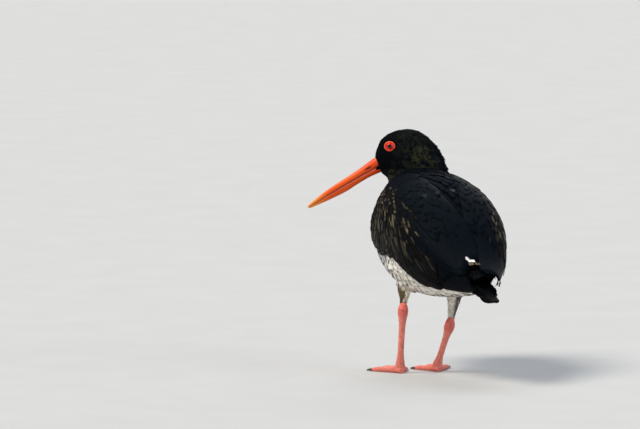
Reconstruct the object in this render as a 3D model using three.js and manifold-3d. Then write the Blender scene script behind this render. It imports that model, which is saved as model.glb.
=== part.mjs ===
// A pied oystercatcher, life size, standing with its head turned to its left.
// Millimetres, +Z up. The breast faces -Y, the bird's left is +X, and the soles rest on Z = 0.
import * as THREE from "three";
import { mergeVertices } from "three/addons/utils/BufferGeometryUtils.js";
import Module from "manifold-3d";

const wasm = await Module();
wasm.setup();

// Driving dimensions
const GAP = 0.35; // clearance between neighbouring pieces
const SLIVER = 0.08; // details smaller than this are smoothed away
const BREAST_TIP = 107; // forward reach of the breast
const BREAST_ROUND = 46; // where the breast starts to round off
const RUMP_TIP = -114; // rear end of the flesh under the tail coverts
const RUMP_ROUND = -66; // where the rump starts to round off
const BODY_SQUARENESS = 2.45; // superellipse power of the body sections
const HEAD_TURN = THREE.MathUtils.degToRad(70); // yaw of the head to the bird's left
const BILL_DROP = THREE.MathUtils.degToRad(31.5); // the bill points this far below level
const BILL_LENGTH = 78;
const EYE_RADIUS = 4.5;
const EYE_RING_RADIUS = 5.4;
const TAIL_FEATHERS = 12;
const TAIL_REACH = -152; // forward coordinate of the tail's end

const rad = THREE.MathUtils.degToRad;
const lerp = THREE.MathUtils.lerp;
const clamp = THREE.MathUtils.clamp;

// A point given as distance to the bird's left, forward and up.
const at = (left, forward, up) => new THREE.Vector3(left, -forward, up);

// A smooth curve y(x) through a few [x, y] pairs with x rising.
function profile(points) {
  const slope = (i) => {
    const [a, b] = [points[Math.max(i - 1, 0)], points[Math.min(i + 1, points.length - 1)]];
    return (b[1] - a[1]) / (b[0] - a[0]);
  };
  return (x) => {
    const last = points.length - 1;
    if (x <= points[0][0]) return points[0][1];
    if (x >= points[last][0]) return points[last][1];
    const i = points.findIndex((p) => p[0] > x) - 1;
    const [[x0, y0], [x1, y1]] = [points[i], points[i + 1]];
    const [w, t] = [x1 - x0, (x - x0) / (x1 - x0)];
    const [t2, t3] = [t * t, t * t * t];
    return (
      (2 * t3 - 3 * t2 + 1) * y0 +
      (t3 - 2 * t2 + t) * w * slope(i) +
      (3 * t2 - 2 * t3) * y1 +
      (t3 - t2) * w * slope(i + 1)
    );
  };
}

// A closed surface over rings of equal length, with a fan over each end.
function loft(rings) {
  const count = rings[0].length;
  const points = rings.flat();
  const middle = (ring) =>
    ring.reduce((sum, p) => sum.add(p), new THREE.Vector3()).divideScalar(count);
  const first = points.push(middle(rings[0])) - 1;
  const last = points.push(middle(rings[rings.length - 1])) - 1;
  const index = [];
  for (let i = 0; i < rings.length - 1; i++)
    for (let j = 0; j < count; j++) {
      const [a, b] = [i * count + j, i * count + ((j + 1) % count)];
      index.push(a, b, b + count, a, b + count, a + count);
    }
  const end = (rings.length - 1) * count;
  for (let j = 0; j < count; j++) {
    const k = (j + 1) % count;
    index.push(first, k, j, last, end + j, end + k);
  }
  return outward(surface(points, index));
}

function surface(points, index) {
  return new THREE.BufferGeometry().setFromPoints(points).setIndex(index);
}

// Turns every face round if the geometry is inside out.
function outward(geometry) {
  const p = geometry.getAttribute("position");
  const index = Array.from(geometry.index.array);
  const [a, b, c] = [new THREE.Vector3(), new THREE.Vector3(), new THREE.Vector3()];
  let volume = 0;
  for (let i = 0; i < index.length; i += 3) {
    a.fromBufferAttribute(p, index[i]);
    b.fromBufferAttribute(p, index[i + 1]);
    c.fromBufferAttribute(p, index[i + 2]);
    volume += a.dot(b.cross(c));
  }
  if (volume < 0)
    for (let i = 0; i < index.length; i += 3)
      [index[i + 1], index[i + 2]] = [index[i + 2], index[i + 1]];
  return geometry.setIndex(index);
}

// The same surface pushed out along its normals.
function grown(geometry, distance) {
  const g = bare(geometry);
  g.computeVertexNormals();
  const [p, n] = [g.getAttribute("position"), g.getAttribute("normal")];
  for (let i = 0; i < p.count; i++)
    p.setXYZ(
      i,
      p.getX(i) + n.getX(i) * distance,
      p.getY(i) + n.getY(i) * distance,
      p.getZ(i) + n.getZ(i) * distance,
    );
  g.deleteAttribute("normal");
  return g;
}

function bare(geometry) {
  const g = geometry.clone();
  g.deleteAttribute("normal");
  g.deleteAttribute("uv");
  return mergeVertices(g, 1e-4);
}

function solid(geometry) {
  const g = bare(geometry);
  return new wasm.Manifold(
    new wasm.Mesh({
      numProp: 3,
      vertProperties: new Float32Array(g.getAttribute("position").array),
      triVerts: new Uint32Array(g.index.array),
    }),
  );
}

const union = (solids) => solids.reduce((sum, s) => sum.add(s));

// The largest closed surface of a solid, so that sealed hollows fill and scraps go.
function whole(made) {
  return made.simplify(SLIVER).decompose().reduce((a, b) => (b.volume() > a.volume() ? b : a));
}

function geometryOf(made) {
  const m = made.getMesh();
  const positions = new Float32Array(m.numVert * 3);
  for (let i = 0; i < m.numVert; i++)
    positions.set(m.vertProperties.subarray(i * m.numProp, i * m.numProp + 3), i * 3);
  return new THREE.BufferGeometry()
    .setAttribute("position", new THREE.BufferAttribute(positions, 3))
    .setIndex(new THREE.BufferAttribute(m.triVerts, 1));
}

// Body: heights and half widths along the forward axis
const backHeight = profile([
  [-160, 91], [-135, 98], [-115, 107], [-95, 121], [-70, 145], [-40, 168],
  [-10, 182], [20, 188], [50, 189], [103, 180],
]);
const bellyHeight = profile([
  [-160, 86], [-135, 84], [-115, 83], [-95, 81], [-70, 77.5], [-40, 74],
  [-10, 73], [20, 75], [56, 84], [103, 97],
]);
const widestHeight = profile([
  [-160, 89], [-135, 93], [-115, 98], [-95, 106], [-70, 117], [-40, 126],
  [-10, 128], [20, 126], [56, 125], [103, 128],
]);
const halfWidth = profile([
  [-160, 6], [-135, 10], [-110, 18], [-80, 35], [-60, 44], [-40, 50],
  [-10, 52.5], [20, 48.5], [56, 42], [103, 33],
]);

const power = (x) => Math.sign(x) * Math.abs(x) ** (2 / BODY_SQUARENESS);

// A point of the body's outline, at an angle from the back's ridge round to the left; cap shrinks the section.
function outline(forward, angle, cap = 1) {
  const middle = widestHeight(forward);
  const reach = Math.cos(angle) > 0 ? backHeight(forward) - middle : middle - bellyHeight(forward);
  return at(
    halfWidth(forward) * power(Math.sin(angle)) * cap,
    forward,
    middle + reach * power(Math.cos(angle)) * cap,
  );
}

function bodyNormal(forward, angle) {
  const step = 0.01;
  const along = outline(forward + 1, angle).sub(outline(forward - 1, angle));
  const round = outline(forward, angle + step).sub(outline(forward, angle - step));
  return along.cross(round).normalize();
}

// A point at a height over the body's outline, for what lies on it.
function over(forward, angle, height) {
  return outline(forward, angle).addScaledVector(bodyNormal(forward, angle), height);
}

// The flesh is narrower than the outline towards the rump, where the folded wings stand off it.
const tuck = profile([[-120, 0.8], [-80, 0.86], [-50, 0.93], [-15, 1], [110, 1]]);

function flesh(forward, angle, cap) {
  const point = outline(forward, angle, cap);
  const low = bellyHeight(forward);
  const share = tuck(forward);
  return point.set(point.x * share, point.y, lerp(low, point.z, lerp(1, share, 0.7)));
}

function torso() {
  const [stations, around] = [24, 32];
  const rings = [];
  for (let i = 1; i < stations; i++) {
    const share = (1 - Math.cos((Math.PI * i) / stations)) / 2;
    const forward = lerp(RUMP_TIP, BREAST_TIP, share);
    const front = clamp((forward - BREAST_ROUND) / (BREAST_TIP - BREAST_ROUND), 0, 1);
    const rear = clamp((forward - RUMP_ROUND) / (RUMP_TIP - RUMP_ROUND), 0, 1);
    const cap = Math.sqrt(1 - front ** 2) * (1 - rear ** 2.6) ** 0.5;
    rings.push(
      Array.from({ length: around }, (_, j) => flesh(forward, (2 * Math.PI * j) / around, cap)),
    );
  }
  return loft(rings);
}

// Head: rails in its own upright plane, as [towards the bill, up], crown side and throat side
const HEAD_RAILS = [
  [[58.4, 199.5], [52.6, 184.4], 6.4],
  [[57.2, 206.0], [50.8, 182.6], 9.2],
  [[53.2, 216.6], [48.9, 181.2], 13.2],
  [[46.0, 222.6], [47.7, 180.5], 15.8],
  [[36.4, 226.2], [47.0, 180.0], 17.8],
  [[26.2, 227.4], [46.5, 179.4], 19.4],
  [[16.2, 225.4], [46.1, 178.5], 20.6],
  [[6.6, 219.2], [45.8, 177.3], 21.6],
  [[-0.8, 210.8], [45.7, 176.0], 22.6],
  [[-6.6, 201.4], [45.7, 174.2], 23.8],
  [[-10.2, 191.8], [45.8, 171.8], 25.4],
  [[-12.8, 182.4], [46.4, 168.2], 27.8],
  [[-15.8, 172.0], [48.5, 160.0], 31.5],
  [[-21.0, 158.0], [52.0, 150.0], 36.0],
];
const NECK_SECTION = 9; // the section that parts head from neck
const NECK_FORWARD = 66; // where the head's plane crosses the bird's midline

// The head's plane stands upright, turned to the left; depth is measured towards the head's left side.
const billward = new THREE.Vector3(Math.sin(HEAD_TURN), -Math.cos(HEAD_TURN), 0);
const headLeft = new THREE.Vector3(0, 0, 1).cross(billward).normalize();
const headOrigin = at(0, NECK_FORWARD, 0).addScaledVector(
  billward, -NECK_FORWARD * Math.cos(HEAD_TURN));
const inHead = (towardsBill, up, depth) =>
  headOrigin
    .clone()
    .addScaledVector(billward, towardsBill)
    .addScaledVector(headLeft, depth)
    .setZ(up);

function headRing([crown, throat, half], around) {
  return Array.from({ length: around }, (_, j) => {
    const angle = (2 * Math.PI * j) / around;
    const share = (1 - Math.cos(angle)) / 2;
    return inHead(
      lerp(crown[0], throat[0], share),
      lerp(crown[1], throat[1], share),
      half * Math.sin(angle) * (1 - 0.1 * Math.cos(angle + 0.4)),
    );
  });
}

const headSolid = () => loft(HEAD_RAILS.slice(0, NECK_SECTION + 1).map((r) => headRing(r, 28)));

function neckSolid() {
  const [crown, throat, half] = HEAD_RAILS[NECK_SECTION];
  const next = HEAD_RAILS[NECK_SECTION + 1];
  const share = GAP / 9;
  const start = [
    crown.map((v, i) => lerp(v, next[0][i], share)),
    [throat[0], throat[1] - GAP],
    lerp(half, next[2], share),
  ];
  return loft([start, ...HEAD_RAILS.slice(NECK_SECTION + 1)].map((r) => headRing(r, 28)));
}

// Bill: its axis starts at the middle of the head's front section
const billBase = [55.6, 191.4];
const billAxis = [Math.cos(BILL_DROP), -Math.sin(BILL_DROP)];
const inBill = (along, rise, depth) =>
  inHead(
    billBase[0] + billAxis[0] * along + Math.sin(BILL_DROP) * rise,
    billBase[1] + billAxis[1] * along + Math.cos(BILL_DROP) * rise,
    depth,
  );
const culmen = profile([[0, 7.4], [14, 6.2], [28, 5.5], [45, 5.2], [60, 4.1], [72, 2.5], [78, 1.3]]);
const gonys = profile([[0, -7.4], [12, -5.9], [28, -5.7], [38, -6.0], [52, -4.8], [66, -3.1], [78, -1.3]]);
const mouthLine = profile([[0, -1.6], [20, -0.9], [50, -0.3], [78, 0]]);
const billHalf = profile([[0, 5.3], [12, 4.3], [28, 3.4], [50, 2.5], [70, 1.6], [78, 1.0]]);

function mandible(edge, side) {
  const rings = [];
  const lengths = [GAP, 5, 10, 16, 24, 34, 44, 54, 63, 70, 75, BILL_LENGTH - (side < 0 ? 0.8 : 0)];
  for (const along of lengths) {
    const root = mouthLine(along) + (side * GAP) / 2;
    const half = billHalf(along);
    const ring = [];
    for (let j = 0; j <= 8; j++) {
      const angle = (Math.PI * j) / 8;
      ring.push(
        inBill(
          along,
          root + (edge(along) - root) * Math.sin(angle) ** 0.8,
          half * Math.sign(Math.cos(angle)) * Math.abs(Math.cos(angle)) ** 0.75,
        ),
      );
    }
    rings.push(ring);
  }
  return loft(rings);
}

function nostril(side) {
  const slit = new THREE.CapsuleGeometry(0.75, 6.5, 4, 8);
  const centre = inBill(9.5, 1.9, side * (billHalf(9.5) - 0.1));
  const axis = inBill(10, 1.9, 0).sub(inBill(9, 1.75, 0)).normalize();
  return slit
    .applyQuaternion(new THREE.Quaternion().setFromUnitVectors(new THREE.Vector3(0, 1, 0), axis))
    .translate(centre.x, centre.y, centre.z);
}

// Eye: looks sideways out of the head and a little forward
const EYE_PLACE = [43.6, 210.4];
const EYE_DEPTH = 12.6; // of the ball's middle from the head's plane
const EYE_FORWARD = rad(9);
const EYE_UP = rad(4);

function eyeFrame(side) {
  const look = headLeft
    .clone()
    .multiplyScalar(side * Math.cos(EYE_FORWARD))
    .addScaledVector(billward, Math.sin(EYE_FORWARD))
    .add(new THREE.Vector3(0, 0, Math.sin(EYE_UP)))
    .normalize();
  const turn = new THREE.Quaternion().setFromUnitVectors(new THREE.Vector3(0, 1, 0), look);
  return new THREE.Matrix4().compose(
    inHead(EYE_PLACE[0], EYE_PLACE[1], side * EYE_DEPTH), turn, new THREE.Vector3(1, 1, 1));
}

const eyeball = (side, extra = 0) =>
  new THREE.SphereGeometry(EYE_RADIUS + extra, 16, 10).applyMatrix4(eyeFrame(side));

// The bare ring of the lids, which overlaps the ball's rim.
function eyelid(side, extra = 0) {
  const inner = EYE_RADIUS + GAP;
  const section = [
    [Math.sqrt(inner ** 2 - 1.4 ** 2) - extra, 1.4 - extra],
    [EYE_RING_RADIUS + extra, 1.4 - extra],
    [EYE_RING_RADIUS + extra, 2.6 + extra / 2],
    [EYE_RING_RADIUS - 0.7 + extra / 2, 3.3 + extra],
    [Math.sqrt(inner ** 2 - 3.2 ** 2) + 0.1 - extra, 3.2 + extra],
    [Math.sqrt(inner ** 2 - 2.4 ** 2) + 0.06 - extra, 2.4],
  ].map(([r, h]) => new THREE.Vector2(r, h));
  return outward(
    bare(new THREE.LatheGeometry([...section, section[0]], 18)),
  ).applyMatrix4(eyeFrame(side));
}

// Wings: a core on the body's side, with tiers of vanes over it
const wingTop = profile([[-140, 5], [-115, 6], [-80, 8], [-40, 14], [0, 22], [30, 30], [60, 46], [80, 72]]);
const wingLow = profile([
  [-140, 90], [-115, 108], [-80, 121], [-40, 119], [0, 119], [30, 120], [60, 117], [80, 106],
]);
const coreHeight = profile([[-152, 0.1], [-110, 0.2], [-60, 0.6], [0, 1.4], [50, 1.8], [70, 1.4], [80, 0.4]]);
const WING_FRONT = 79;
const CORE_REAR = -110;

// The angle at a share of the way from the wing's upper edge down to its lower edge.
const wingAngle = (forward, share) => rad(lerp(wingTop(forward), wingLow(forward), share));

// A closed plate from a grid of outer and inner points.
function plate(outer, inner) {
  const [rows, columns] = [outer.length, outer[0].length];
  const points = [...outer.flat(), ...inner.flat()];
  const base = rows * columns;
  const index = [];
  const quad = (a, b, c, d) => index.push(a, b, c, a, c, d);
  for (let i = 0; i < rows - 1; i++)
    for (let j = 0; j < columns - 1; j++) {
      const a = i * columns + j;
      quad(a, a + 1, a + columns + 1, a + columns);
      quad(base + a, base + a + columns, base + a + columns + 1, base + a + 1);
    }
  for (let i = 0; i < rows - 1; i++) {
    const [a, b] = [i * columns, i * columns + columns - 1];
    index.push(a, a + columns, base + a + columns, a, base + a + columns, base + a);
    index.push(b, base + b + columns, b + columns, b, base + b, base + b + columns);
  }
  for (let j = 0; j < columns - 1; j++) {
    const [a, b] = [j, (rows - 1) * columns + j];
    index.push(a, base + a + 1, a + 1, a, base + a, base + a + 1);
    index.push(b, b + 1, base + b + 1, b, base + b + 1, base + b);
  }
  return outward(surface(points, index));
}

function wingCore(side) {
  const [rows, columns] = [13, 9];
  const grid = (height) =>
    Array.from({ length: rows }, (_, i) =>
      Array.from({ length: columns }, (_, j) => {
        const forward = lerp(WING_FRONT, CORE_REAR, i / (rows - 1));
        const share = j / (columns - 1);
        return over(forward, side * wingAngle(forward, share), height(forward, share));
      }),
    );
  return plate(
    grid((forward, share) => 0.5 + coreHeight(forward) * (1 - (2 * share - 1) ** 4)),
    grid(() => -2.4),
  );
}

// Steps over the body's outline: from a point given as forward and angle, some millimetres across or along.
function shifted(forward, angle, vector) {
  const step = 0.02;
  const along = outline(forward + 0.5, angle).sub(outline(forward - 0.5, angle));
  const round = outline(forward, angle + step).sub(outline(forward, angle - step)).divideScalar(2 * step);
  const [aa, ar, rr] = [along.dot(along), along.dot(round), round.dot(round)];
  const [va, vr] = [vector.dot(along), vector.dot(round)];
  const det = aa * rr - ar * ar;
  return [forward + (va * rr - vr * ar) / det, angle + (vr * aa - va * ar) / det];
}

// One vane lying over the body's outline. Its root is sunk and its tip stands free of what it covers.
function vane(side, { root, tip, half, top, lift = 0.9, sink = 1.5, thick = 3.6, tilt = 0.4, parts = 4 }) {
  const [outer, inner] = [[], []];
  for (let i = 0; i <= parts; i++) {
    const t = i / parts;
    const share = lerp(root[1], tip[1], t);
    const forward = lerp(root[0], tip[0], t);
    const angle = wingAngle(forward, share);
    const ahead = lerp(root[0], tip[0], t + 0.02);
    const direction = outline(ahead, wingAngle(ahead, lerp(root[1], tip[1], t + 0.02)))
      .sub(outline(forward, angle));
    const across = bodyNormal(forward, angle).cross(direction).normalize();
    const width = half * Math.min(1, 0.62 + 1.1 * t) * Math.sqrt(1 - clamp((t - 0.55) / 0.45, 0, 0.96) ** 2);
    const height = top - sink * (1 - t) ** 1.5 + lift * t;
    const [above, below] = [[], []];
    for (const across01 of [-1, 0, 1]) {
      const [f, a] = shifted(forward, angle, across.clone().multiplyScalar(across01 * width));
      const crown = 0.25 * (1 - across01 ** 2) - tilt * across01;
      above.push(over(f, side * a, height + crown));
      below.push(over(f, side * a, height + crown - thick * lerp(1, 0.62, t)));
    }
    outer.push(above);
    inner.push(below);
  }
  return plate(outer, inner);
}

// Each tier: how many vanes, the root and tip of its first and last one as [forward, share], and their sizes.
const WING_TIERS = [
  { // primaries
    count: 5,
    roots: [[-52, 0.9], [-52, 0.6]], tips: [[-141, 0.6], [-108, 0.44]],
    half: [5.0, 6.5], top: [0.2, 1.0], thick: 1.7, sink: 0.4, lift: 0.3, parts: 4,
  },
  { // secondaries
    count: 5,
    roots: [[-2, 0.9], [-8, 0.66]], tips: [[-68, 0.94], [-106, 0.66]],
    half: [7.0, 7.0], top: [1.2, 1.5], parts: 3,
  },
  { // tertials
    count: 4,
    roots: [[-8, 0.58], [6, 0.16]], tips: [[-116, 0.42], [-80, 0.12]],
    half: [10.5, 10.5], top: [2.0, 2.4], parts: 4,
  },
  { // greater coverts
    count: 6,
    roots: [[14, 0.94], [-6, 0.36]], tips: [[-26, 0.96], [-50, 0.36]],
    half: [7.4, 8.8], top: [2.3, 3.0], parts: 3,
  },
  { // median coverts
    count: 5,
    roots: [[44, 0.92], [26, 0.34]], tips: [[6, 0.96], [-12, 0.34]],
    half: [8.6, 9.2], top: [2.5, 3.3], parts: 3,
  },
  { // lesser coverts
    count: 4,
    roots: [[68, 0.86], [56, 0.3]], tips: [[36, 0.92], [22, 0.3]],
    half: [9.4, 10.0], top: [2.4, 3.3], parts: 3,
  },
  { // rear scapulars
    count: 3,
    roots: [[26, 0.27], [26, 0.06]], tips: [[-58, 0.3], [-50, 0.06]],
    half: [11, 10.5], top: [2.9, 2.0], parts: 3,
  },
  { // front scapulars
    count: 3,
    roots: [[60, 0.26], [56, 0.05]], tips: [[-4, 0.3], [2, 0.06]],
    half: [11, 10.5], top: [3.2, 2.1], parts: 3,
  },
];

function tierVanes(side, tier) {
  return Array.from({ length: tier.count }, (_, i) => {
    const t = i / (tier.count - 1);
    const mix = (pair) =>
      Array.isArray(pair[0]) ? pair[0].map((v, k) => lerp(v, pair[1][k], t)) : lerp(pair[0], pair[1], t);
    return vane(side, {
      ...tier,
      root: mix(tier.roots),
      tip: mix(tier.tips),
      half: mix(tier.half),
      top: mix(tier.top) + 0.02 * i,
    });
  });
}

// Tail: a closed fan of overlapping vanes from a root under the rump
const TAIL_ROOT = [-96, 97.5];
const TAIL_END_HEIGHT = 81;
const TAIL_SPREAD = rad(2.4);
const TAIL_HALF = 5.6;
const TAIL_LAYER = 0.28; // how far each feather lies under the one nearer the middle

// The middle feathers lie on top, and the fan falls away to both sides like a low tent.
function tailVane(index) {
  const middle = (TAIL_FEATHERS - 1) / 2;
  const place = (index - middle) / middle;
  const length = (TAIL_ROOT[0] - TAIL_REACH) * (1 - 0.05 * place ** 2);
  const turn = TAIL_SPREAD * place;
  const layer = TAIL_LAYER * (Math.abs(index - middle) + (index > middle ? 0.5 : 0));
  const [outer, inner] = [[], []];
  for (let i = 0; i <= 5; i++) {
    const t = i / 5;
    const width = TAIL_HALF * (0.55 + 0.45 * t) * Math.sqrt(1 - clamp((t - 0.7) / 0.3, 0, 0.93) ** 2);
    const [above, below] = [[], []];
    for (const across of [-1, 0, 1]) {
      const left = place * 4 + Math.sin(turn) * length * t + across * width;
      const forward = TAIL_ROOT[0] - Math.cos(turn) * length * t;
      const raised = 0.3 * (1 - across ** 2) + 0.35 * Math.sign(place) * across;
      const up = lerp(TAIL_ROOT[1] + 2, TAIL_END_HEIGHT, t) - 0.012 * left ** 2 - layer + raised;
      above.push(at(left, forward, up));
      below.push(at(left, forward, up - lerp(1.8, 1.1, t)));
    }
    outer.push(above);
    inner.push(below);
  }
  return plate(outer, inner);
}

// The covert mass at the tail's root, a tapering round body.
function tailRoot() {
  const rings = [];
  for (let i = 0; i <= 8; i++) {
    const t = i / 8;
    const forward = lerp(-88, -138, t);
    const height = lerp(97.5, 86.5, t);
    const [half, up, down] = [lerp(15, 8.5, t), lerp(12, 1.2, t ** 0.7), lerp(13, 1.6, t ** 0.8)];
    rings.push(
      Array.from({ length: 16 }, (_, j) => {
        const angle = (2 * Math.PI * j) / 16;
        const reach = Math.cos(angle) > 0 ? up : down;
        return at(half * Math.sin(angle), forward, height + reach * Math.cos(angle));
      }),
    );
  }
  return loft(rings);
}

// Legs: a tube with oval sections along a polyline; each section is [point, half across, half fore and aft]
function limb(sections, around = 12) {
  const points = sections.map((s) => s[0]);
  const rings = sections.map(([point, across, deep], i) => {
    const before = points[Math.max(i - 1, 0)];
    const after = points[Math.min(i + 1, points.length - 1)];
    const along = after.clone().sub(before).normalize();
    const sideways = new THREE.Vector3(0, 1, 0).cross(along).normalize();
    if (sideways.lengthSq() < 0.5) sideways.set(1, 0, 0);
    const fore = along.clone().cross(sideways).normalize();
    return Array.from({ length: around }, (_, j) => {
      const angle = (2 * Math.PI * j) / around;
      return point
        .clone()
        .addScaledVector(sideways, Math.sin(angle) * across)
        .addScaledVector(fore, Math.cos(angle) * deep);
    });
  });
  return loft(rings);
}

const LEGS = {
  left: {
    hip: at(26, 12, 98),
    ankle: at(37, -8, 62),
    ball: at(35.4, 4, 7.2),
    toes: [["inner", -33, 25], ["middle", 4, 33], ["outer", 38, 29]],
  },
  right: {
    hip: at(-20, -6, 96),
    ankle: at(-3.2, -26, 47),
    ball: at(-2.6, 4, 7.2),
    toes: [["inner", 31, 25], ["middle", -6, 33], ["outer", -40, 29]],
  },
};

const between = (a, b, t) => a.clone().lerp(b, t);

function tibia({ hip, ankle }) {
  return limb([
    [between(hip, ankle, 0.0), 11, 13],
    [between(hip, ankle, 0.3), 9.5, 11],
    [between(hip, ankle, 0.52), 7, 8],
    [between(hip, ankle, 0.72), 5, 5.6],
    [between(hip, ankle, 0.86), 3.9, 4.2],
    [between(hip, ankle, 0.93), 3.6, 3.9],
  ]);
}

// The bare leg, from the swollen ankle to the ball of the foot.
function tarsus({ hip, ankle, ball }) {
  return limb([
    [between(ankle, hip, 0.12), 3.1, 3.3],
    [between(ankle, hip, 0.06), 4.3, 4.4],
    [between(ankle, ball, 0.0), 4.9, 5.3],
    [between(ankle, ball, 0.08), 4.8, 5.4],
    [between(ankle, ball, 0.17), 3.8, 4.6],
    [between(ankle, ball, 0.3), 3.0, 3.6],
    [between(ankle, ball, 0.55), 2.8, 3.2],
    [between(ankle, ball, 0.78), 2.9, 3.1],
    [between(ankle, ball, 0.9), 3.8, 3.4],
    [between(ankle, ball, 1.0), 4.8, 4.0],
    [between(ankle, ball, 1.08), 4.4, 3.6],
  ]);
}

const toeAim = (degrees) => at(Math.sin(rad(degrees)), Math.cos(rad(degrees)), 0);

// A toe lies along the floor from the ball, with a pad under each joint.
function toe({ ball }, [, degrees, length]) {
  const aim = toeAim(degrees);
  const start = at(ball.x + aim.x * 1.5, -ball.y - aim.y * 1.5, 0);
  const sections = [];
  const stations = [[0, 3.4, 4.2], [0.12, 3.2, 3.6], [0.3, 2.6, 2.9], [0.42, 2.9, 3.0], [0.58, 2.3, 2.5],
    [0.7, 2.6, 2.6], [0.86, 2.1, 2.2], [1, 1.7, 1.7]];
  for (const [t, across, high] of stations) {
    const point = start.clone().addScaledVector(aim, length * t);
    sections.push([point.setZ(high * 0.92), across, high]);
  }
  return toeTube(sections, aim);
}

function toeTube(sections, aim) {
  const sideways = new THREE.Vector3(0, 0, 1).cross(aim).normalize();
  return loft(
    sections.map(([point, across, high]) =>
      Array.from({ length: 10 }, (_, j) => {
        const angle = (2 * Math.PI * j) / 10;
        return point
          .clone()
          .addScaledVector(sideways, Math.sin(angle) * across)
          .add(new THREE.Vector3(0, 0, Math.cos(angle) * high));
      }),
    ),
  );
}

function claw({ ball }, [, degrees, length]) {
  const aim = toeAim(degrees);
  const start = at(ball.x + aim.x * 1.5, -ball.y - aim.y * 1.5, 0);
  const stations = [[-0.6, 1.5, 1.4, 1.6], [1.5, 1.5, 1.3, 1.5], [4, 1.1, 0.9, 1.3], [6.2, 0.5, 0.5, 0.8]];
  return toeTube(
    stations.map(([along, across, high, up]) => [
      start.clone().addScaledVector(aim, length + along).setZ(up), across, high]),
    aim,
  );
}

// The web between middle and outer toe, and the pad under the ball.
function footPad(leg) {
  const { ball } = leg;
  const heel = [[-4.5, 2.6, 2.2], [-1.5, 4.6, 3.6], [2.5, 5.4, 4.0], [6.5, 4.6, 3.2], [9, 3.0, 2.2]];
  const aim = toeAim((leg.toes[0][1] + leg.toes[2][1]) / 2);
  return toeTube(
    heel.map(([along, across, high]) => [
      at(ball.x, -ball.y, 0).addScaledVector(aim, along).setZ(high * 0.92), across, high]),
    aim,
  );
}

const belowFloor = () => new THREE.BoxGeometry(400, 500, 40).translate(0, 0, -20);

// Materials
const finish = (color, roughness, metalness = 0) =>
  new THREE.MeshStandardMaterial({ color, roughness, metalness });
const materials = {
  plumage: finish(0x0b0c0f, 0.55),
  belly: finish(0xd9d6cc, 0.8),
  bill: finish(0xff4a0c, 0.35),
  iris: finish(0xd81a12, 0.08),
  ring: finish(0xff4a18, 0.5),
  leg: finish(0xf0685c, 0.5),
  claw: finish(0x2a211f, 0.45),
};

// Assembly
const oystercatcher = new THREE.Group();

function add(name, made, material) {
  const mesh = new THREE.Mesh(geometryOf(whole(made)), material);
  mesh.name = name;
  oystercatcher.add(mesh);
}

const torsoShape = torso();
const torsoRoom = solid(grown(torsoShape, GAP));
const headShape = headSolid();
const neckShape = neckSolid();
const neckRoom = solid(grown(neckShape, GAP));
const floor = solid(belowFloor());

add("torso", solid(torsoShape), materials.plumage);
add("neck", solid(neckShape).subtract(torsoRoom), materials.plumage);
const sockets = [1, -1].flatMap((side) => [solid(eyeball(side, GAP)), solid(eyelid(side, GAP))]);
add("head", sockets.reduce((sum, s) => sum.subtract(s), solid(headShape)).subtract(torsoRoom), materials.plumage);
for (const [name, side] of [["left", 1], ["right", -1]]) {
  add(`eye_${name}`, solid(eyeball(side)), materials.iris);
  add(`eyelid_${name}`, solid(eyelid(side)), materials.ring);
}
const headRoom = solid(grown(headShape, GAP));
const nostrils = union([solid(nostril(1)), solid(nostril(-1))]);
add("bill_upper", solid(mandible(culmen, 1)).subtract(nostrils).subtract(headRoom), materials.bill);
add("bill_lower", solid(mandible(gonys, -1)).subtract(headRoom), materials.bill);

const tailShapes = [tailRoot(), ...Array.from({ length: TAIL_FEATHERS }, (_, i) => tailVane(i))];
const tailRoom = union(tailShapes.map((shape) => solid(grown(shape, GAP))));
add("tail", union(tailShapes.map(solid)).subtract(torsoRoom), materials.plumage);

for (const [name, side] of [["left", 1], ["right", -1]]) {
  const vanes = WING_TIERS.flatMap((tier) => tierVanes(side, tier)).map(solid);
  const wing = union([solid(wingCore(side)), ...vanes]);
  add(`wing_${name}`, wing.subtract(torsoRoom).subtract(neckRoom).subtract(tailRoom), materials.plumage);
}

for (const [name, leg] of Object.entries(LEGS)) {
  const tarsusShape = tarsus(leg);
  const tarsusRoom = solid(grown(tarsusShape, GAP));
  const padShape = footPad(leg);
  const padRoom = solid(grown(padShape, GAP));
  add(`tibia_${name}`, solid(tibia(leg)).subtract(torsoRoom).subtract(tarsusRoom), materials.belly);
  add(`tarsus_${name}`, solid(tarsusShape).subtract(floor), materials.leg);
  add(`foot_${name}`, solid(padShape).subtract(tarsusRoom).subtract(floor), materials.leg);
  const [inner, middle, outer] = leg.toes;
  const middleRoom = solid(grown(toe(leg, middle), GAP));
  for (const one of leg.toes) {
    const shape = toe(leg, one);
    let made = solid(shape).subtract(padRoom).subtract(tarsusRoom).subtract(floor);
    if (one !== middle) made = made.subtract(middleRoom);
    add(`toe_${name}_${one[0]}`, made, materials.leg);
    const clawMade = solid(claw(leg, one)).subtract(solid(grown(shape, GAP))).subtract(floor);
    add(`claw_${name}_${one[0]}`, clawMade, materials.claw);
  }
}

// The origin is the middle of the whole bird's footprint on the floor.
const box = new THREE.Box3().setFromObject(oystercatcher);
const centre = box.getCenter(new THREE.Vector3());
oystercatcher.position.set(-centre.x, -centre.y, -box.min.z);

export default oystercatcher;
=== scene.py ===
import math

import bmesh
import bpy
import numpy as np
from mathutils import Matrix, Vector
from mathutils.bvhtree import BVHTree


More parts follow.
